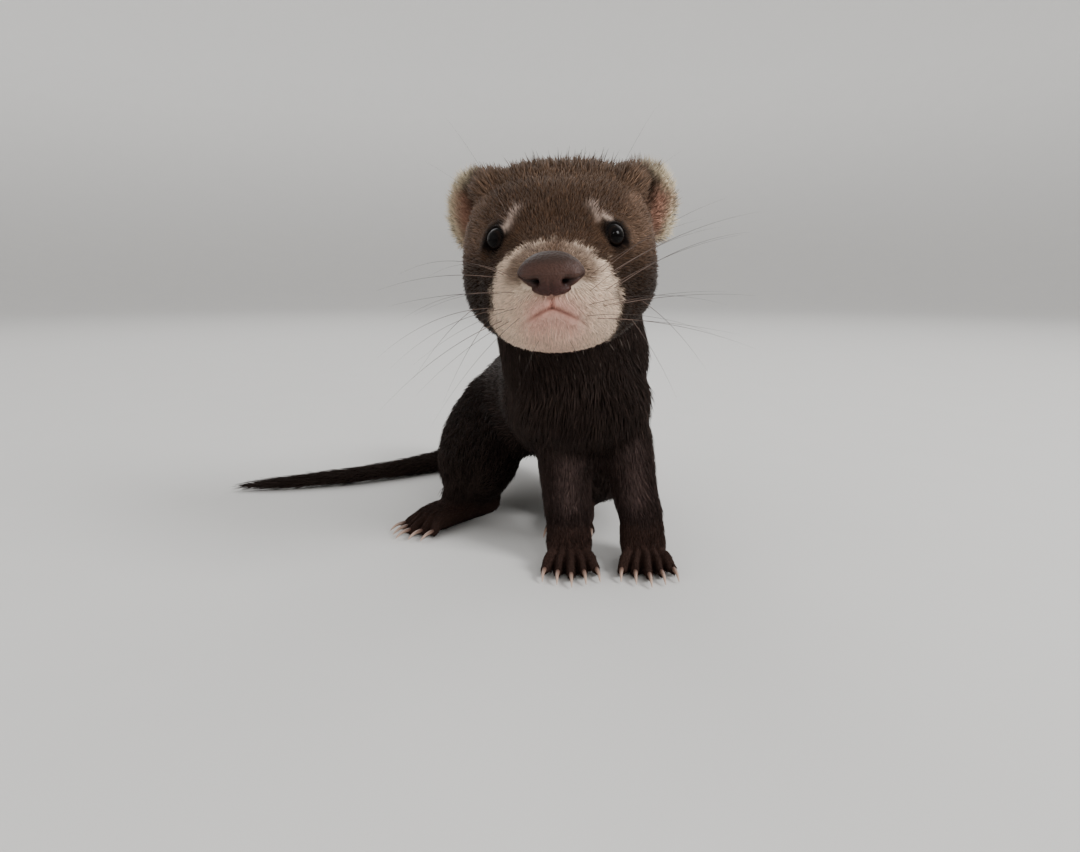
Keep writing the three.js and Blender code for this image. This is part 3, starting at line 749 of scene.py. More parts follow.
def eye_place(h):
    """Distance from the nearer eye's centre, and the angle from the way that it looks."""
    side = np.where(h[:, 0] > 0, 1.0, -1.0)
    centre = np.stack([side * EYE_APART, np.full(len(h), EYE_DEPTH), np.zeros(len(h))], 1)
    flat = math.cos(EYE_RISE)
    gaze = np.stack([
        side * math.sin(EYE_TURN) * flat,
        np.full(len(h), -math.cos(EYE_TURN) * flat),
        np.full(len(h), math.sin(EYE_RISE)),
    ], 1)
    out = h - centre
    far = np.linalg.norm(out, axis=1)
    angle = np.arccos(np.clip((out * gaze).sum(1) / np.maximum(far, 1e-6), -1, 1))
    return centre, out, far, angle


def eye_opening(way):
    """Half the opening's angle: the lids leave a tall oval."""
    return EYE_OPENING * (0.88 + 0.32 * np.abs(way[:, 2]))


def face_colour(h):
    x, y, z = h.T
    _, out, far, angle = eye_place(h)
    opening = eye_opening(unit(out))
    side = step(11, 16, np.abs(x)) * step(-6, 2, z) * step(22, 12, y)
    brows = [
        (BROW_FUR, bell(segment_far(h[:, [0, 2]], start, end), width) * 0.9 * step(8, 4, y))
        for start, end, width in BROWS
    ]
    return layered(
        BROWN_FUR,
        (CHEEK_FUR, step(-1, -9.5, z + noise(h, 3.0, 16) * 1.2)),
        (CROWN_FUR, step(5, 15, z) * step(36, 22, y) * 0.75),
        (DARK_FUR * 1.1, step(17, 34, y + noise(h, 4.0, 17) * 2.0)),
        (PALE_SIDE_FUR, side * (0.5 + 0.3 * noise(h, 2.6, 14))),
        (CHEEK_FUR * 0.25, step(4.8, 3.2, far + noise(h, 1.4, 15) * 0.35) * 0.9),
        *brows,
        (muzzle_colour(h), mask_share(h)),
        (LID_SKIN, step(opening + 0.16, opening + 0.04, angle) * (far < 4.2)),
    )


def muzzle_colour(h):
    x, _, z = h.T
    above, fade = lips(h)
    pink = bell(above, 3.2) * fade * 0.9 + bell(x, 6.5) * step(-9, -11, z) * 0.45
    furrow = bell(x, 0.8) * step(-10.0, -11.0, z) * step(MOUTH_TOP - 0.6, MOUTH_TOP, z)
    bridge = bell(x - 0.6, 2.0) * step(-5.0, -3.6, z) * step(0.4, -1.6, z)
    around = np.hypot(x / 6.6, (z - NOSE_AT[2] - 0.4) / 4.3)
    return layered(
        MASK_FUR,
        (PINK_FUR, np.clip(pink, 0, 1)),
        (LIP_SKIN, bell(above, 1.1) * fade * 0.6),
        (LIP_SKIN, furrow * 0.9),
        # Along the mouth's line: darker lip skin and painted shade in the crease between the lips
        (MOUTH_SKIN_AND_SHADE, bell(above, 0.42) * fade * 0.65),
        (BRIDGE_FUR, bridge * 0.85),
        (BRIDGE_FUR * 0.8, step(1.34, 1.02, around) * step(-9, -7, z) * 0.8),
    )


def ear_colour(h, inside):
    e = to_ear(h)
    reach = ear_reach(e)
    ragged = noise(h, 2.0, 12)
    rim = step(0.58, 0.86, reach + ragged * 0.08)
    hollow = mix(EAR_SKIN, EAR_ROOT_FUR, step(3.8, 0.8, e[:, 0] + noise(h, 1.5, 13) * 0.9))
    back = mix(BROWN_FUR, EAR_RIM_FUR, step(0.80, 1.0, reach + ragged * 0.1) * 0.8)
    front = mix(hollow, EAR_RIM_FUR, rim * step(-3.0, 2.5, e[:, 0] + e[:, 2] * 0.25))
    return mix(back, front, inside)


def coat_colour(points, kind, inside):
    """The coat's colour at points in the drawing frame; inside is 1 in the cup of an ear."""
    h = to_head(points)
    x, y, z = points.T
    foreleg = of_kind(kind, "foreleg")
    middle = np.where(x < 15.5, RIGHT_WRIST[0] - 0.4, LEFT_WRIST[0] - 2.4)
    # A painted highlight: a lighter streak down the front of each foreleg, in place of the sheen of light
    # on its fur
    painted_sheen = bell(x - middle, 2.6) * step(180, 174, y) * step(10, 17, z) * step(42, 32, z)
    colour = layered(
        DARK_FUR,
        (DARK_FUR * 1.5, np.clip(noise(points, 11.0, 31), 0, 1) * 0.6),
        (LEG_FUR, foreleg * step(40, 12, z) * 0.9),
        (SHEEN_HIGHLIGHT_FUR, painted_sheen * 0.5 * foreleg),
        (face_colour(h), of_kind(kind, "head")),
        (PAW_FUR, of_kind(kind, "paw")),
        (ear_colour(h, inside), of_kind(kind, "ear")),
    )
    fleck = noise(points, 1.6, 8) * 0.08 + noise(points, 8.0, 9) * 0.10
    return np.clip(colour * (1 + fleck)[:, None], 0, 1)


def coat_plan(points, kind, inside):
    """The coat's row of COATS at every point of the skin, blended from region to region."""
    h = to_head(points)
    _, y, z = h.T
    height = points[:, 2]
    head = of_kind(kind, "head")
    ear = of_kind(kind, "ear")
    _, _, far, _ = eye_place(h)
    above, fade = lips(h)
    e = to_ear(h)
    ear_far = np.linalg.norm(e, axis=1)
    regions = (
        ("wrist", of_kind(kind, "foreleg") * step(20, 9, height)),
        ("wrist", of_kind(kind, "hindleg") * step(13, 5, height)),
        ("wrist", of_kind(kind, "paw") * step(4.5, 7.5, height)),
        ("crown", head * step(6, 13, z) * step(34, 26, y)),
        ("by_ear", head * step(12.0, 8.0, ear_far) * step(32, 24, y)),
        ("over_ear", head * step(12.5, 9.0, ear_far) * step(9.0, 12.5, z)),
        ("forehead", head * step(14, 8, y) * step(-6, -1, z)),
        ("muzzle", head * step(0, -5, y)),
        ("eye", head * step(6.5, 4.0, far)),
        ("lip", head * bell(above, 1.6) * fade),
        ("ear_rim", ear * step(0.7, 0.95, ear_reach(e))),
        ("ear_root", ear * inside * step(3.2, -0.3, e[:, 0])),
    )
    plan = np.array([COATS[name] for name in KINDS])[kind]
    return layered(plan, *((COATS[name], share) for name, share in regions))


def lie_down_the_chest(points, kind, lie):
    """On the front of the trunk the coat runs down from the neck, then back along the body."""
    front = of_kind(kind, "trunk") * step(196, 182, points[:, 1])
    return unit(mix(lie, np.array([0.0, 0.3, -1.0]), front))


# Lids and lips, sculpted in the skin
def sculpted(points, head):
    h = to_head(points)
    centre, out, far, angle = eye_place(h)
    way = unit(out)
    near = head * (far < EYE_RADIUS + 3.0)
    opening = eye_opening(way)
    open_share = step(opening + 0.05, opening - 0.05, angle)
    lid = EYE_RADIUS + LID_THICK * bell(angle - opening - 0.16, 0.30)
    covered = np.maximum(far, lid)
    sunk = np.minimum(far, EYE_RADIUS - 0.5)
    ball = mix(covered[:, None], sunk[:, None], open_share)
    h = mix(h, centre + way * ball, near * step(1.9, 1.5, angle))
    above, fade = lips(h)
    push = -0.42 * bell(above, 0.34) + 0.26 * bell(above - 1.1, 0.8) + 0.18 * bell(above + 1.2, 0.9)
    furrow = bell(h[:, 0], 0.35) * step(-9.5, -10.5, h[:, 2])
    furrow *= step(MOUTH_TOP - 0.3, MOUTH_TOP + 0.3, h[:, 2]) * step(-8, -10, h[:, 1])
    h[:, 1] -= head * (push * fade - 0.5 * furrow)
    return from_head(h)


def toe_lanes(points, foot):
    """A foot's own frame: its turn, places there, how far along the toes and how near a gap between two."""
    _, base, reach, spread, _, turn, at = foot
    place = np.array(Matrix.Rotation(-turn, 3, "Z"))
    local = (points - [at[0], at[1], 0]) @ place
    run = (base - local[:, 1]) / reach
    aside = local[:, 0] / (spread * (0.62 + 0.5 * np.clip(run, -0.6, 1.1)))
    gap = step(0.16, 0.5, np.abs(aside - np.round(aside))) * (np.abs(aside) < 2.0)
    own = (np.abs(local[:, 0]) < FOOT_WIDE) & (run > -1.4) & (run < 1.6) & (local[:, 2] < 11)
    return place, local, run, gap * own


def toes_apart(points, normal, paw):
    """Furrows from the back of the paw to the tips, with the skin between two tips drawn back."""
    for foot in FEET:
        place, local, run, gap = toe_lanes(points, foot)
        at = foot[-1]
        top = step(-0.1, 0.35, normal[:, 2])
        gap = gap * paw * step(-1.2, -0.1, run)
        local[:, 2] -= gap * top * (0.5 + 1.2 * np.clip(run, 0, 1))
        local[:, 1] += gap * 3.2 * step(0.35, 1.0, run)
        points = np.where(gap[:, None] > 0, local @ place.T + [at[0], at[1], 0], points)
    return points


def near_toes(places):
    near = np.zeros(len(places), bool)
    for foot in FEET:
        _, local, run, _ = toe_lanes(places, foot)
        low = (local[:, 2] < 6) & (local[:, 2] > 0.5)
        near |= (np.abs(local[:, 0]) < FOOT_WIDE) & (run > -0.5) & (run < 1.5) & low
    return near


def near_face(places):
    h = to_head(places)
    return (h[:, 1] < 2.5) & (np.abs(h[:, 0]) < 14.5) & (h[:, 2] < 5) & (h[:, 2] > -21)


def near_eye_or_mouth(places):
    h = to_head(places)
    _, _, far, _ = eye_place(h)
    above, fade = lips(h)
    return (far < EYE_RADIUS + 1.3) | ((np.abs(above) < 1.6) & (fade > 0.05))


# Materials
def grained(name, rough, specular, grain, span, raised=(0, 0), texture="Noise"):
    """The painted shade, made darker and lighter by a fine grain on the piece's own coordinates.

    span is the shade's share at the grain's low and high, raised the strength and height of its bump.
    """
    material = bpy.data.materials.new(name)
    material.use_nodes = True
    nodes, links = material.node_tree.nodes, material.node_tree.links
    shader = nodes["Principled BSDF"]
    shader.inputs["Roughness"].default_value = rough
    shader.inputs["Specular IOR Level"].default_value = specular
    place = nodes.new("ShaderNodeTexCoord")
    grains = nodes.new(f"ShaderNodeTex{texture}")
    grains.inputs["Scale"].default_value = grain
    links.new(place.outputs["Object"], grains.inputs["Vector"])
    value = grains.outputs["Fac" if texture == "Noise" else "Distance"]
    share = nodes.new("ShaderNodeMapRange")
    share.inputs["To Min"].default_value, share.inputs["To Max"].default_value = span
    links.new(value, share.inputs["Value"])
    shade = nodes.new("ShaderNodeAttribute")
    shade.attribute_name = "shade"
    varied = nodes.new("ShaderNodeVectorMath")
    varied.operation = "SCALE"
    links.new(shade.outputs["Color"], varied.inputs[0])
    links.new(share.outputs["Result"], varied.inputs["Scale"])
    links.new(varied.outputs["Vector"], shader.inputs["Base Color"])
    if raised[0]:
        bump = nodes.new("ShaderNodeBump")
        bump.inputs["Strength"].default_value, bump.inputs["Distance"].default_value = raised
        links.new(value, bump.inputs["Height"])
        links.new(bump.outputs["Normal"], shader.inputs["Normal"])
    return material


def fur_material():
    return grained("fur", 0.55, 0.10, 900, (0.86, 1.14))


def hide_material():
    return grained("hide", 0.8, 0.05, 1400, (0.8, 1.15), (0.35, 0.0002))


def leather_material():
    return grained("nose_leather", 0.46, 0.22, 2600, (0.78, 1.2), (0.55, 0.00012), "Voronoi")


def eye_material():
    material = grained("wet_eye", 0.05, 0.05, 1800, (0.7, 1.3))
    shader = material.node_tree.nodes["Principled BSDF"]
    shader.inputs["Coat Weight"].default_value = 0.05
    shader.inputs["Coat Roughness"].default_value = 0.02
    return material


def horn_material():
    return grained("claw_horn", 0.34, 0.5, 1500, (0.85, 1.1), (0.1, 0.00008))


def whisker_material():
    return grained("whisker", 0.4, 0.4, 500, (0.8, 1.2))


def sweep_material():
    return grained("sweep", 0.8, 0.2, 40, (0.985, 1.015))


def paint(piece, colours):
    attribute = piece.data.color_attributes.new("shade", "FLOAT_COLOR", "POINT")
    rgba = np.ones((len(colours), 4), np.float32)
    rgba[:, :3] = np.clip(colours, 0, 1)
    attribute.data.foreach_set("color", rgba.ravel())


# Tufts of the coat. A long one bends over in the middle, a short one is a plain three-sided point.
class Tuft:
    """The closed mesh of one tuft, its chart, and the most tufts in a piece. -1 fills a triangle's row."""

    def __init__(self, faces, chart, most):
        self.faces = np.array(faces)
        self.chart = np.array(chart)
        self.most = most
        self.sizes = np.where(self.faces[:, 3] < 0, 3, 4)
        self.corners = np.concatenate([f[:k] for f, k in zip(self.faces, self.sizes)])


LONG_TUFT = Tuft(
    [(0, 2, 1, -1), (0, 1, 4, 3), (1, 2, 5, 4), (2, 0, 3, 5), (3, 4, 6, -1), (4, 5, 6, -1), (5, 3, 6, -1)],
    [(0.1, 0.0), (0.9, 0.0), (0.5, 0.2), (0.2, 0.5), (0.8, 0.5), (0.5, 0.65), (0.5, 1.0)],
    19500,
)
SHORT_TUFT = Tuft(
    [(0, 2, 1, -1), (0, 1, 3, -1), (1, 2, 3, -1), (2, 0, 3, -1)],
    [(0.1, 0.0), (0.9, 0.0), (0.5, 0.2), (0.5, 1.0)],
    48000,
)

# The side of a tuft's patch on the square chart
PATCH = 0.003


def tufts_at(root, normal, lie, size, colour, form):
    """Points and colours of tufts. The size of each is its length, width and lift."""
    n = len(root)
    lie = unit(lie - normal * (lie * normal).sum(1, keepdims=True))
    side = np.cross(normal, lie)
    swing = dice.normal(0, SWING_SPREAD, n) + noise(root, 4.0, 21) * 0.22 + noise(root, 1.6, 22) * 0.14
    ahead = lie * np.cos(swing)[:, None] + side * np.sin(swing)[:, None]
    side = np.cross(normal, ahead)
    length = (size[:, 0] * dice.uniform(0.7, 1.2, n))[:, None]
    width = (size[:, 1] * dice.uniform(0.75, 1.2, n))[:, None]
    lift = (size[:, 2] * dice.uniform(0.6, 1.5, n))[:, None]
    first = ahead * np.cos(lift) + normal * np.sin(lift)
    second = ahead * np.cos(lift * 0.4) + normal * np.sin(lift * 0.4)
    base = root - normal * ROOT_DEPTH
    half = side * width / 2
    thick = normal * width * TUFT_THICK
    tone = dice.normal(1.0, TONE_SPREAD, n)
    fleck = dice.random(n)
    dark = step(0.30, 0.08, colour.mean(1))
    tone *= 1 + dark * np.where(fleck < FLECK_SHARE, 0.65, np.where(fleck > 1 - FLECK_SHARE, -0.35, 0))
    tone = tone[:, None, None]
    if form is SHORT_TUFT:
        tip = base + (first * 0.5 + second * 0.5) * length
        points = np.stack([base - half, base + half, base + thick, tip], 1)
        along = np.array([0.88, 0.88, 0.90, 1.08])
    else:
        middle = base + first * length * 0.5
        tip = middle + second * length * 0.5
        points = np.stack([
            base - half, base + half, base + thick,
            middle - half * 0.8, middle + half * 0.8, middle + thick * 0.8, tip,
        ], 1)
        along = np.array([0.72, 0.72, 0.75, 1.0, 1.0, 1.04, 1.14])
    return points, colour[:, None] * tone * along[None, :, None]


def coat_piece(name, form, points, colours, charts, material):
    """One mesh of tufts, each a small patch at its root's place on the chart of the skin."""
    n, each = points.shape[:2]
    mesh = bpy.data.meshes.new(name)
    corners = (form.corners[None] + each * np.arange(n)[:, None]).ravel()
    totals = np.tile(form.sizes, n)
    mesh.vertices.add(n * each)
    places = metres(points.reshape(-1, 3))
    places[:, 2] = np.maximum(places[:, 2], 0)
    mesh.vertices.foreach_set("co", places.astype(np.float32).ravel())
    mesh.loops.add(len(corners))
    mesh.loops.foreach_set("vertex_index", corners.astype(np.int32))
    mesh.polygons.add(len(totals))
    starts = np.concatenate([[0], np.cumsum(totals)[:-1]])
    mesh.polygons.foreach_set("loop_start", starts.astype(np.int32))
    mesh.update(calc_edges=True)
    mesh.materials.append(material)
    piece = bpy.data.objects.new(name, mesh)
    bpy.context.scene.collection.objects.link(piece)
    paint(piece, colours.reshape(-1, 3))
    uv = mesh.uv_layers.new(name="OFBake")
    place = charts[:, None] * (1 - 2 * PATCH) + PATCH / 2 + (form.chart * PATCH)[None]
    uv.data.foreach_set("uv", place[:, form.corners].astype(np.float32).ravel())
    mesh.shade_smooth()
    return piece


def piece_chart(forms, place):
    """Where each root lies on one square, in which every form fills a cell of its own."""
    spots = np.zeros_like(place)
    names = np.unique(forms)
    side = math.ceil(math.sqrt(len(names)))
    for i, name in enumerate(names):
        rows = forms == name
        low, high = place[rows].min(0), place[rows].max(0)
        inner = (place[rows] - low) / np.maximum(high - low, 1e-6)
        spots[rows] = (np.array([i % side, i // side]) + 0.02 + 0.96 * inner) / side
    return spots


def bare(root):
    """Where nothing grows: the eye's opening, the nose leather and the line of the mouth."""
    h = to_head(root)
    _, out, far, angle = eye_place(h)
    eye = (far < EYE_RADIUS + 0.8) & (angle < eye_opening(unit(out)) + 0.03)
    nose = (np.hypot(h[:, 0] / 5.6, (h[:, 2] - NOSE_AT[2] - 0.2) / 3.4) < 1) & (h[:, 1] < -9)
    above, fade = lips(h)
    return eye | nose | ((np.abs(above) < 0.2) & (fade > 0.4))


def grow_coat(skin, material):
    """Tufts over the whole skin, in pieces by region."""
    points, triangles, plan = skin["points"], skin["triangles"], skin["plan"]
    a, b, c = (points[triangles[:, i]] for i in range(3))
    area = np.linalg.norm(np.cross(b - a, c - a), axis=1) / 2
    want = area * plan[triangles, 3].mean(1)
    number = np.floor(want + dice.random(len(want))).astype(int)
    cell = np.repeat(np.arange(len(triangles)), number)
    u, v = dice.random(len(cell)), dice.random(len(cell))
    over = u + v > 1
    u, v = np.where(over, 1 - u, u), np.where(over, 1 - v, v)
    share = np.stack([1 - u - v, u, v], 1)

    def at(values):
        return (values[triangles[cell]] * share[..., None]).sum(1)

    near = triangles[cell, np.argmax(share, 1)]
    rows = {
        "root": at(points), "normal": unit(at(skin["normal"])), "lie": at(skin["lie"]),
        "size": at(plan[:, [1, 2, 4]]), "colour": at(skin["colour"]),
        "owner": skin["owner"][near], "place": skin["chart"][near], "kind": skin["kind"][near],
    }
    keep = ~bare(rows["root"])
    rows = {k: v[keep] for k, v in rows.items()}
    throat = of_kind(rows["kind"], "neck") & (rows["root"][:, 1] < 178)
    throat &= dice.random(len(throat)) < THROAT_HAIR_SHARE
    rows["colour"][throat] = THROAT_HAIR
    h = to_head(rows["root"])
    crest = of_kind(rows["kind"], "head") & (h[:, 2] > 13.5) & (np.abs(h[:, 0]) < 11)
    crest &= (h[:, 1] > 4) & (h[:, 1] < 20) & (dice.random(len(crest)) < CREST_SHARE)
    rows["size"][crest] *= [1.35, 0.9, 1.9]
    rows["colour"][crest] *= 0.45
    coat_pieces(rows, material)


def coat_pieces(rows, material):
    """The tufts parted by region and by form, and again where one piece would hold too many."""
    for name, members in COAT_PIECES.items():
        member = of_kind(rows["kind"], *members)
        for label, form, sort in (("", LONG_TUFT, False), ("_short", SHORT_TUFT, True)):
            chosen = np.flatnonzero(member & ((rows["size"][:, 0] < SHORT) == sort))
            if not len(chosen):
                continue
            order = np.argsort(rows["owner"][chosen] * 10 + rows["place"][chosen, 1], kind="stable")
            parts = max(1, math.ceil(len(chosen) / form.most))
            for number, pick in enumerate(np.array_split(chosen[order], parts)):
                own = {k: v[pick] for k, v in rows.items()}
                growth = [own[k] for k in ("root", "normal", "lie", "size", "colour")]
                shapes, shades = tufts_at(*growth, form)
                spot = piece_chart(own["owner"], own["place"])
                piece = coat_piece(f"{name}{label}_{number + 1}", form, shapes, shades, spot, material)
                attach(piece, "root")


# Nose
def nose_piece():
    points, faces, _, _ = loft(NOSE_SECTIONS, 150, 120, AHEAD)
    points = points + NOSE_AT
    low = points[:, 2] < NOSE_LOW
    points[low, 2] = NOSE_LOW + (points[low, 2] - NOSE_LOW) * NOSE_LOW_SHARE
    side = one_side(points)
    front = step(-13.0, -15.5, points[:, 1])
    hole = np.linalg.norm((side - NOSTRIL_AT) / [0.95, 1.6, 0.95], axis=1)
    slit = segment_far(side, NOSTRIL_AT + [0.2, 0.3, 0.1], NOSTRIL_AT + [2.1, 1.7, 1.0])
    crease = bell(points[:, 0], 0.28) * step(-7.0, -8.6, points[:, 2])
    sink = 1.7 * bell(hole, 0.95) + 0.75 * bell(slit, 0.42) + 0.35 * crease
    wing = 0.32 * bell(np.linalg.norm((side - [4.3, -16.4, -6.9]) / [1.5, 1.5, 1.1], axis=1), 1.0)
    pebbles = 0.035 * noise(points, 0.42, 41) + 0.02 * noise(points, 0.22, 42)
    centre = np.array([0, -12.6, -7.2])
    points = points - unit(points - centre) * (front * (sink - wing - pebbles))[:, None]
    lower = step(-6.5, -9.5, points[:, 2])
    colour = layered(
        LEATHER,
        (LEATHER_LOW, lower),
        (LEATHER_TOP, step(-5.4, -3.9, points[:, 2]) * 0.8),
        (LEATHER_SIDE, step(4.6, 5.8, np.abs(points[:, 0])) * 0.6),
        # Painted shade: the nostrils darkened to near black where they sink in, for the shadow inside them
        (NOSTRIL_SHADE, np.clip(bell(hole, 0.9) + bell(slit, 0.36) * 0.8, 0, 1) * front),
    )
    nose = new_piece("nose_leather", metres(from_head(points)), faces, leather_material())
    paint(nose, colour)
    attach(nose, "root")
    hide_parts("nose")


# Eyes: a ball with a bulging cornea, its pole along the way that it looks
def eye_piece(name, side, material):
    around, along = 64, 56
    angle = math.pi * (np.arange(along) + 1) / (along + 1)
    turn = 2 * math.pi * np.arange(around) / around
    radius = EYE_RADIUS + CORNEA_RISE * bell(angle, CORNEA_ANGLE) - 0.02
    across = np.sin(angle) * radius
    rows = np.stack([
        across[:, None] * np.cos(turn), across[:, None] * np.sin(turn),
        np.repeat((np.cos(angle) * radius)[:, None], around, 1),
    ], -1).reshape(-1, 3)
    points = np.vstack([[[0, 0, radius[0]]], rows, [[0, 0, -radius[-1]]]])
    angles = np.concatenate([[0], np.repeat(angle, around), [math.pi]])
    colour = layered(PUPIL, (IRIS, bell(angles - 0.60, 0.10)), (EYE_EDGE, step(0.78, 0.9, angles)))
    gaze = np.array([side * math.sin(EYE_TURN), -math.cos(EYE_TURN), math.tan(EYE_RISE)])
    place = np.array(Vector(gaze).to_track_quat("Z", "Y").to_matrix())
    shape = points @ place.T + [side * EYE_APART, EYE_DEPTH, 0]
    faces = [tuple(reversed(f)) for f in ring_faces(along, around)]
    eye = new_piece(f"eyeball_{name}", metres(from_head(shape)), faces, material)
    paint(eye, colour)
    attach(eye, "root")
    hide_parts(f"eye_{name}")


# Claws and whiskers
def claws_piece(claws):
    points, faces = joined(claws)
    along = np.concatenate([c[3][:, 1] for c in claws])
    piece = new_piece("claws", metres(points), faces, horn_material())
    paint(piece, mix(CLAW_ROOT, CLAW_TIP, step(0.15, 0.75, along)))
    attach(piece, "root")


# On either side: how far each row of whiskers rises, from the top row down, and the reach of its innermost
WHISKER_RISES = {1: (11.0, 8.5, 0.5, -5.0), -1: (0.5, -4.5, -8.5, -16.0)}
WHISKER_REACH = {1: 21.5, -1: 17.5}

# Single whiskers of one side, over the eye, on the cheek and under the chin
SINGLE_WHISKERS = [
    ((8.4, -2.0, 5.0), (19.0, -6.0, 22.0), 1.2, 0.04),
    ((9.4, -1.0, 4.6), (24.0, -2.0, 15.0), 0.8, 0.04),
    ((15.0, 4.0, -12.0), (29.0, 0.0, -26.0), 1.5, 0.075),
    ((13.5, 2.0, -15.0), (23.0, -3.0, -31.0), 1.2, 0.065),
    ((3.0, -11.0, -19.0), (6.0, -15.0, -26.0), 0.6, 0.045),
]


def whisker_plan():
    """Each whisker in the head's frame: root, tip, rise of its middle, radius at the root."""
    rows = []
    for side in (-1, 1):
        for row in range(4):
            for column in range(3):
                root = (side * (6.4 + 1.5 * column), -13.4 + 2.4 * column, -7.2 - 2.5 * row)
                reach = WHISKER_REACH[side] + 4 * column + dice.uniform(-2.5, 2.5)
                rise = WHISKER_RISES[side][row] + dice.uniform(-2.5, 2.5)
                back = -5 + 6 * column + dice.uniform(-2, 2)
                tip = (root[0] + side * reach, root[1] + back, root[2] + rise)
                rows.append((root, tip, 1.5 + dice.uniform(-1, 1.5), 0.055 + 0.01 * column))
        for root, tip, rise, radius in SINGLE_WHISKERS:
            rows.append((np.multiply(root, [side, 1, 1]), np.multiply(tip, [side, 1, 1]), rise, radius))
    return rows


def whisker_tree(material):
    """Geometry Nodes: every line becomes a closed tube, whose radius at each point is its attribute."""
    tree = bpy.data.node_groups.new("whisker_tubes", "GeometryNodeTree")
    tree.interface.new_socket("Lines", in_out="INPUT", socket_type="NodeSocketGeometry")
    thickness = tree.interface.new_socket("Thickness", in_out="INPUT", socket_type="NodeSocketFloat")
    sides = tree.interface.new_socket("Sides", in_out="INPUT", socket_type="NodeSocketInt")
    tree.interface.new_socket("Tubes", in_out="OUTPUT", socket_type="NodeSocketGeometry")
    nodes, links = tree.nodes, tree.links
    given, made = nodes.new("NodeGroupInput"), nodes.new("NodeGroupOutput")
    lines = nodes.new("GeometryNodeMeshToCurve")
    own = nodes.new("GeometryNodeInputNamedAttribute")
    own.data_type = "FLOAT"
    own.inputs["Name"].default_value = "thick"
    scaled = nodes.new("ShaderNodeMath")
    scaled.operation = "MULTIPLY"
    circle = nodes.new("GeometryNodeCurvePrimitiveCircle")
    circle.inputs["Radius"].default_value = 1
    tube = nodes.new("GeometryNodeCurveToMesh")
    tube.inputs["Fill Caps"].default_value = True
    whole = nodes.new("GeometryNodeRealizeInstances")
    finish = nodes.new("GeometryNodeSetMaterial")
    finish.inputs["Material"].default_value = material
    links.new(given.outputs["Lines"], lines.inputs["Mesh"])
    links.new(lines.outputs["Curve"], tube.inputs["Curve"])
    links.new(own.outputs["Attribute"], scaled.inputs[0])
    links.new(given.outputs["Thickness"], scaled.inputs[1])
    links.new(scaled.outputs["Value"], tube.inputs["Scale"])
    links.new(given.outputs["Sides"], circle.inputs["Resolution"])
    links.new(circle.outputs["Curve"], tube.inputs["Profile Curve"])
    for a, b in ((tube, whole), (whole, finish), (finish, made)):
        links.new(a.outputs[0], b.inputs[0])
    return tree, {thickness.identifier: 1.0, sides.identifier: 6}


def whiskers_piece(tree, skin_points):
    """Tubes from the nearest point of the skin to each tip, by the Geometry Nodes tree."""
    lines, thick, share = [], [], np.linspace(0, 1, 22)[:, None]
    for root, tip, rise, radius in whisker_plan():
        root, tip = from_head([root, tip])
        root = skin_points[tree.find(root)[1]]
        lines.append(root + (tip - root) * share + UP * rise * (4 * share * (1 - share)) * 0.9)
        thick.append(radius * (1 - 0.93 * share[:, 0]))
    count = len(share)
    mesh = bpy.data.meshes.new("whiskers")
    edges = [(n * count + i, n * count + i + 1) for n in range(len(lines)) for i in range(count - 1)]
    mesh.from_pydata(metres(np.vstack(lines)).tolist(), edges, [])
    given = {"thick": np.concatenate(thick) / 1000, "share": np.tile(share[:, 0], len(lines))}
    for name, values in given.items():
        mesh.attributes.new(name, "FLOAT", "POINT").data.foreach_set("value", values)
    piece = bpy.data.objects.new("whiskers", mesh)
    bpy.context.scene.collection.objects.link(piece)
    tubes = piece.modifiers.new("tubes", "NODES")
    tubes.node_group, sizes = whisker_tree(whisker_material())
    for socket, value in sizes.items():
        tubes[socket] = value
    piece.data = bpy.data.meshes.new_from_object(piece.evaluated_get(bpy.context.evaluated_depsgraph_get()))
    piece.modifiers.clear()
    along = np.empty(len(piece.data.vertices), np.float32)
    piece.data.attributes["share"].data.foreach_get("value", along)
    paint(piece, mix(WHISKER_ROOT, WHISKER_TIP, step(0.15, 0.4, along)))
    piece.data.shade_smooth()
    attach(piece, "root")


def tree_of(places):
    tree = kdtree.KDTree(len(places))
    for i, place in enumerate(places.tolist()):
        tree.insert(place, i)
    tree.balance()
    return tree


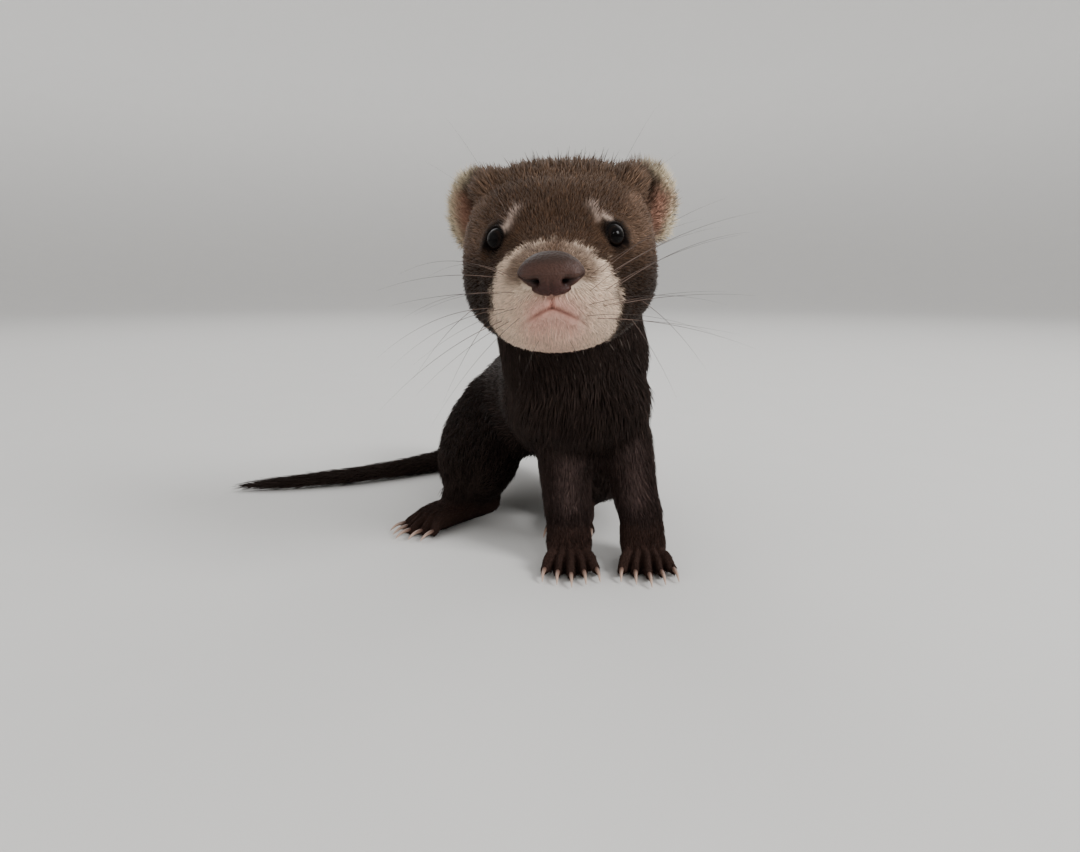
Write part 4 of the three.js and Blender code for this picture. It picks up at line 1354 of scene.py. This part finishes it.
def shaped_skin(forms):
    """The skin under the coat, with what the coat needs to know at each of its points."""
    points, triangles = fused([form for _, form in forms])
    points, triangles = refined(points, triangles, near_face)
    points, triangles = refined(points, triangles, near_toes)
    points, triangles = refined(points, triangles, near_eye_or_mouth)
    weave = Weave(len(points), triangles)
    kinds = np.concatenate([np.full(len(form[0]), KINDS.index(name)) for name, form in forms])
    owners = np.concatenate([np.full(len(form[0]), i) for i, (_, form) in enumerate(forms)])
    tree = tree_of(np.vstack([form[0] for _, form in forms]))
    near = np.array([tree.find(p)[1] for p in points.tolist()])
    kind, owner = kinds[near], owners[near]
    chart = np.vstack([form[3] for _, form in forms])[near]
    inside = (of_kind(kind, "ear") & (chart[:, 1] > 0.5)).astype(float)
    plan = weave.even(coat_plan(points, kind, inside), 16, np.where(of_kind(kind, "head"), 0.3, 1.0))
    lie = lie_down_the_chest(points, kind, np.vstack([form[2] for _, form in forms])[near])
    lie = weave.even(lie, 14)
    head = weave.even(of_kind(kind, "head"), 3)
    points = points - vertex_normals(points, triangles) * plan[:, :1]
    fine = of_kind(kind, "paw", "ear")
    calm = weave.even(np.where(fine, 0.15, np.where(head > 0.5, 0.5, 1.0)), 6)
    points = weave.even(points, 10, calm)
    front = of_kind(kind, "trunk", "neck") * step(176, 167, points[:, 1])
    points[:, 1] += CHEST_BACK * weave.even(front, 6) * bell(points[:, 2] - CHEST_HEIGHT, CHEST_TALL)
    points = sculpted(points, head)
    paw = weave.even(of_kind(kind, "paw"), 4)
    points = weave.even(toes_apart(points, vertex_normals(points, triangles), paw), 2, paw * 0.4)
    points[:, 2] = np.maximum(points[:, 2], 0.02)
    return {
        "points": points, "triangles": triangles, "normal": vertex_normals(points, triangles),
        "lie": lie, "plan": plan, "kind": kind, "owner": owner, "chart": chart,
        "colour": weave.even(coat_colour(points, kind, inside), 1),
    }


def ferret():
    forms, claws = body_forms()
    skin = shaped_skin(forms)
    piece = new_piece("skin", metres(skin["points"]), skin["triangles"].tolist(), hide_material())
    paint(piece, skin["colour"] * 0.85)
    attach(piece, "root")
    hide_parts(*[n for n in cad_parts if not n.startswith(("eye", "nose"))])
    grow_coat(skin, fur_material())
    nose_piece()
    wet = eye_material()
    eye_piece("right", -1, wet)
    eye_piece("left", 1, wet)
    claws_piece(claws)
    whiskers_piece(tree_of(skin["points"]), skin["points"])


# Camera, light and a pale round sweep that the model stands in
def camera():
    lens = bpy.data.cameras.new("camera")
    lens.lens = CAMERA_LENS
    lens.sensor_width = 36
    lens.clip_start = 0.005
    view = bpy.data.objects.new("camera", lens)
    bpy.context.scene.collection.objects.link(view)
    view.location = metres([[0, 0, CAMERA_HEIGHT]])[0]
    view.rotation_euler = (math.pi / 2 - CAMERA_PITCH, 0, 0)
    bpy.context.scene.camera = view


def sweep():
    """A floor that turns up into a wall far away, all round."""
    flat, bend, high, ring, around = 1.3, 0.9, 1.25, 0.3, 96
    profile = [(ring * k, 0) for k in range(1, 5)]
    arc = np.linspace(0, math.pi / 2, 14)
    profile += [(flat + bend * math.sin(a), bend * (1 - math.cos(a))) for a in arc]
    profile.append((flat + bend, high))
    turn = 2 * math.pi * np.arange(around) / around
    points = [(0, 0, 0)]
    points += [(r * math.cos(t), r * math.sin(t), z) for r, z in profile for t in turn]
    faces = [(0, 1 + j, 1 + (j + 1) % around) for j in range(around)]
    for i in range(len(profile) - 1):
        here, out = 1 + i * around, 1 + (i + 1) * around
        for j in range(around):
            k = (j + 1) % around
            faces.append((here + j, out + j, out + k, here + k))
    floor = new_piece("floor", points, faces, sweep_material())
    x, y, z = np.array(points).T
    # Painted light: the far floor darker and the wall lighter, so that the stage looks evenly bright
    shade = mix(FLOOR_NEAR, FLOOR_FAR, step(0.4, 1.3, np.hypot(x, y)))
    paint(floor, mix(shade, WALL, step(0.02, 0.6, z)))


# Each light: its name, its place in metres, its watts and the side of its square in metres
LIGHTS = [
    ("key", (0.80, -0.45, 0.60), 9.0, 0.35),
    ("fill", (-0.7, -0.45, 0.40), 0.6, 0.6),
    ("back", (-0.3, 0.7, 0.8), 2.4, 0.6),
    ("side", (0.6, 0.6, 0.7), 1.6, 0.6),
    ("catch", (0.20, -0.50, 0.34), 0.22, 0.025),
]
AIM = Vector((0, 0, 0.05))


def lights():
    for name, place, power, size in LIGHTS:
        lamp = bpy.data.lights.new(name, "AREA")
        lamp.energy = power
        lamp.size = size
        holder = bpy.data.objects.new(name, lamp)
        bpy.context.scene.collection.objects.link(holder)
        holder.location = place
        holder.rotation_euler = (AIM - Vector(place)).to_track_quat("-Z", "Y").to_euler()
    world = bpy.data.worlds.new("studio")
    world.use_nodes = True
    world.node_tree.nodes["Background"].inputs["Color"].default_value = (0.80, 0.80, 0.80, 1)
    world.node_tree.nodes["Background"].inputs["Strength"].default_value = 1.0
    bpy.context.scene.world = world


camera()
sweep()
lights()
ferret()
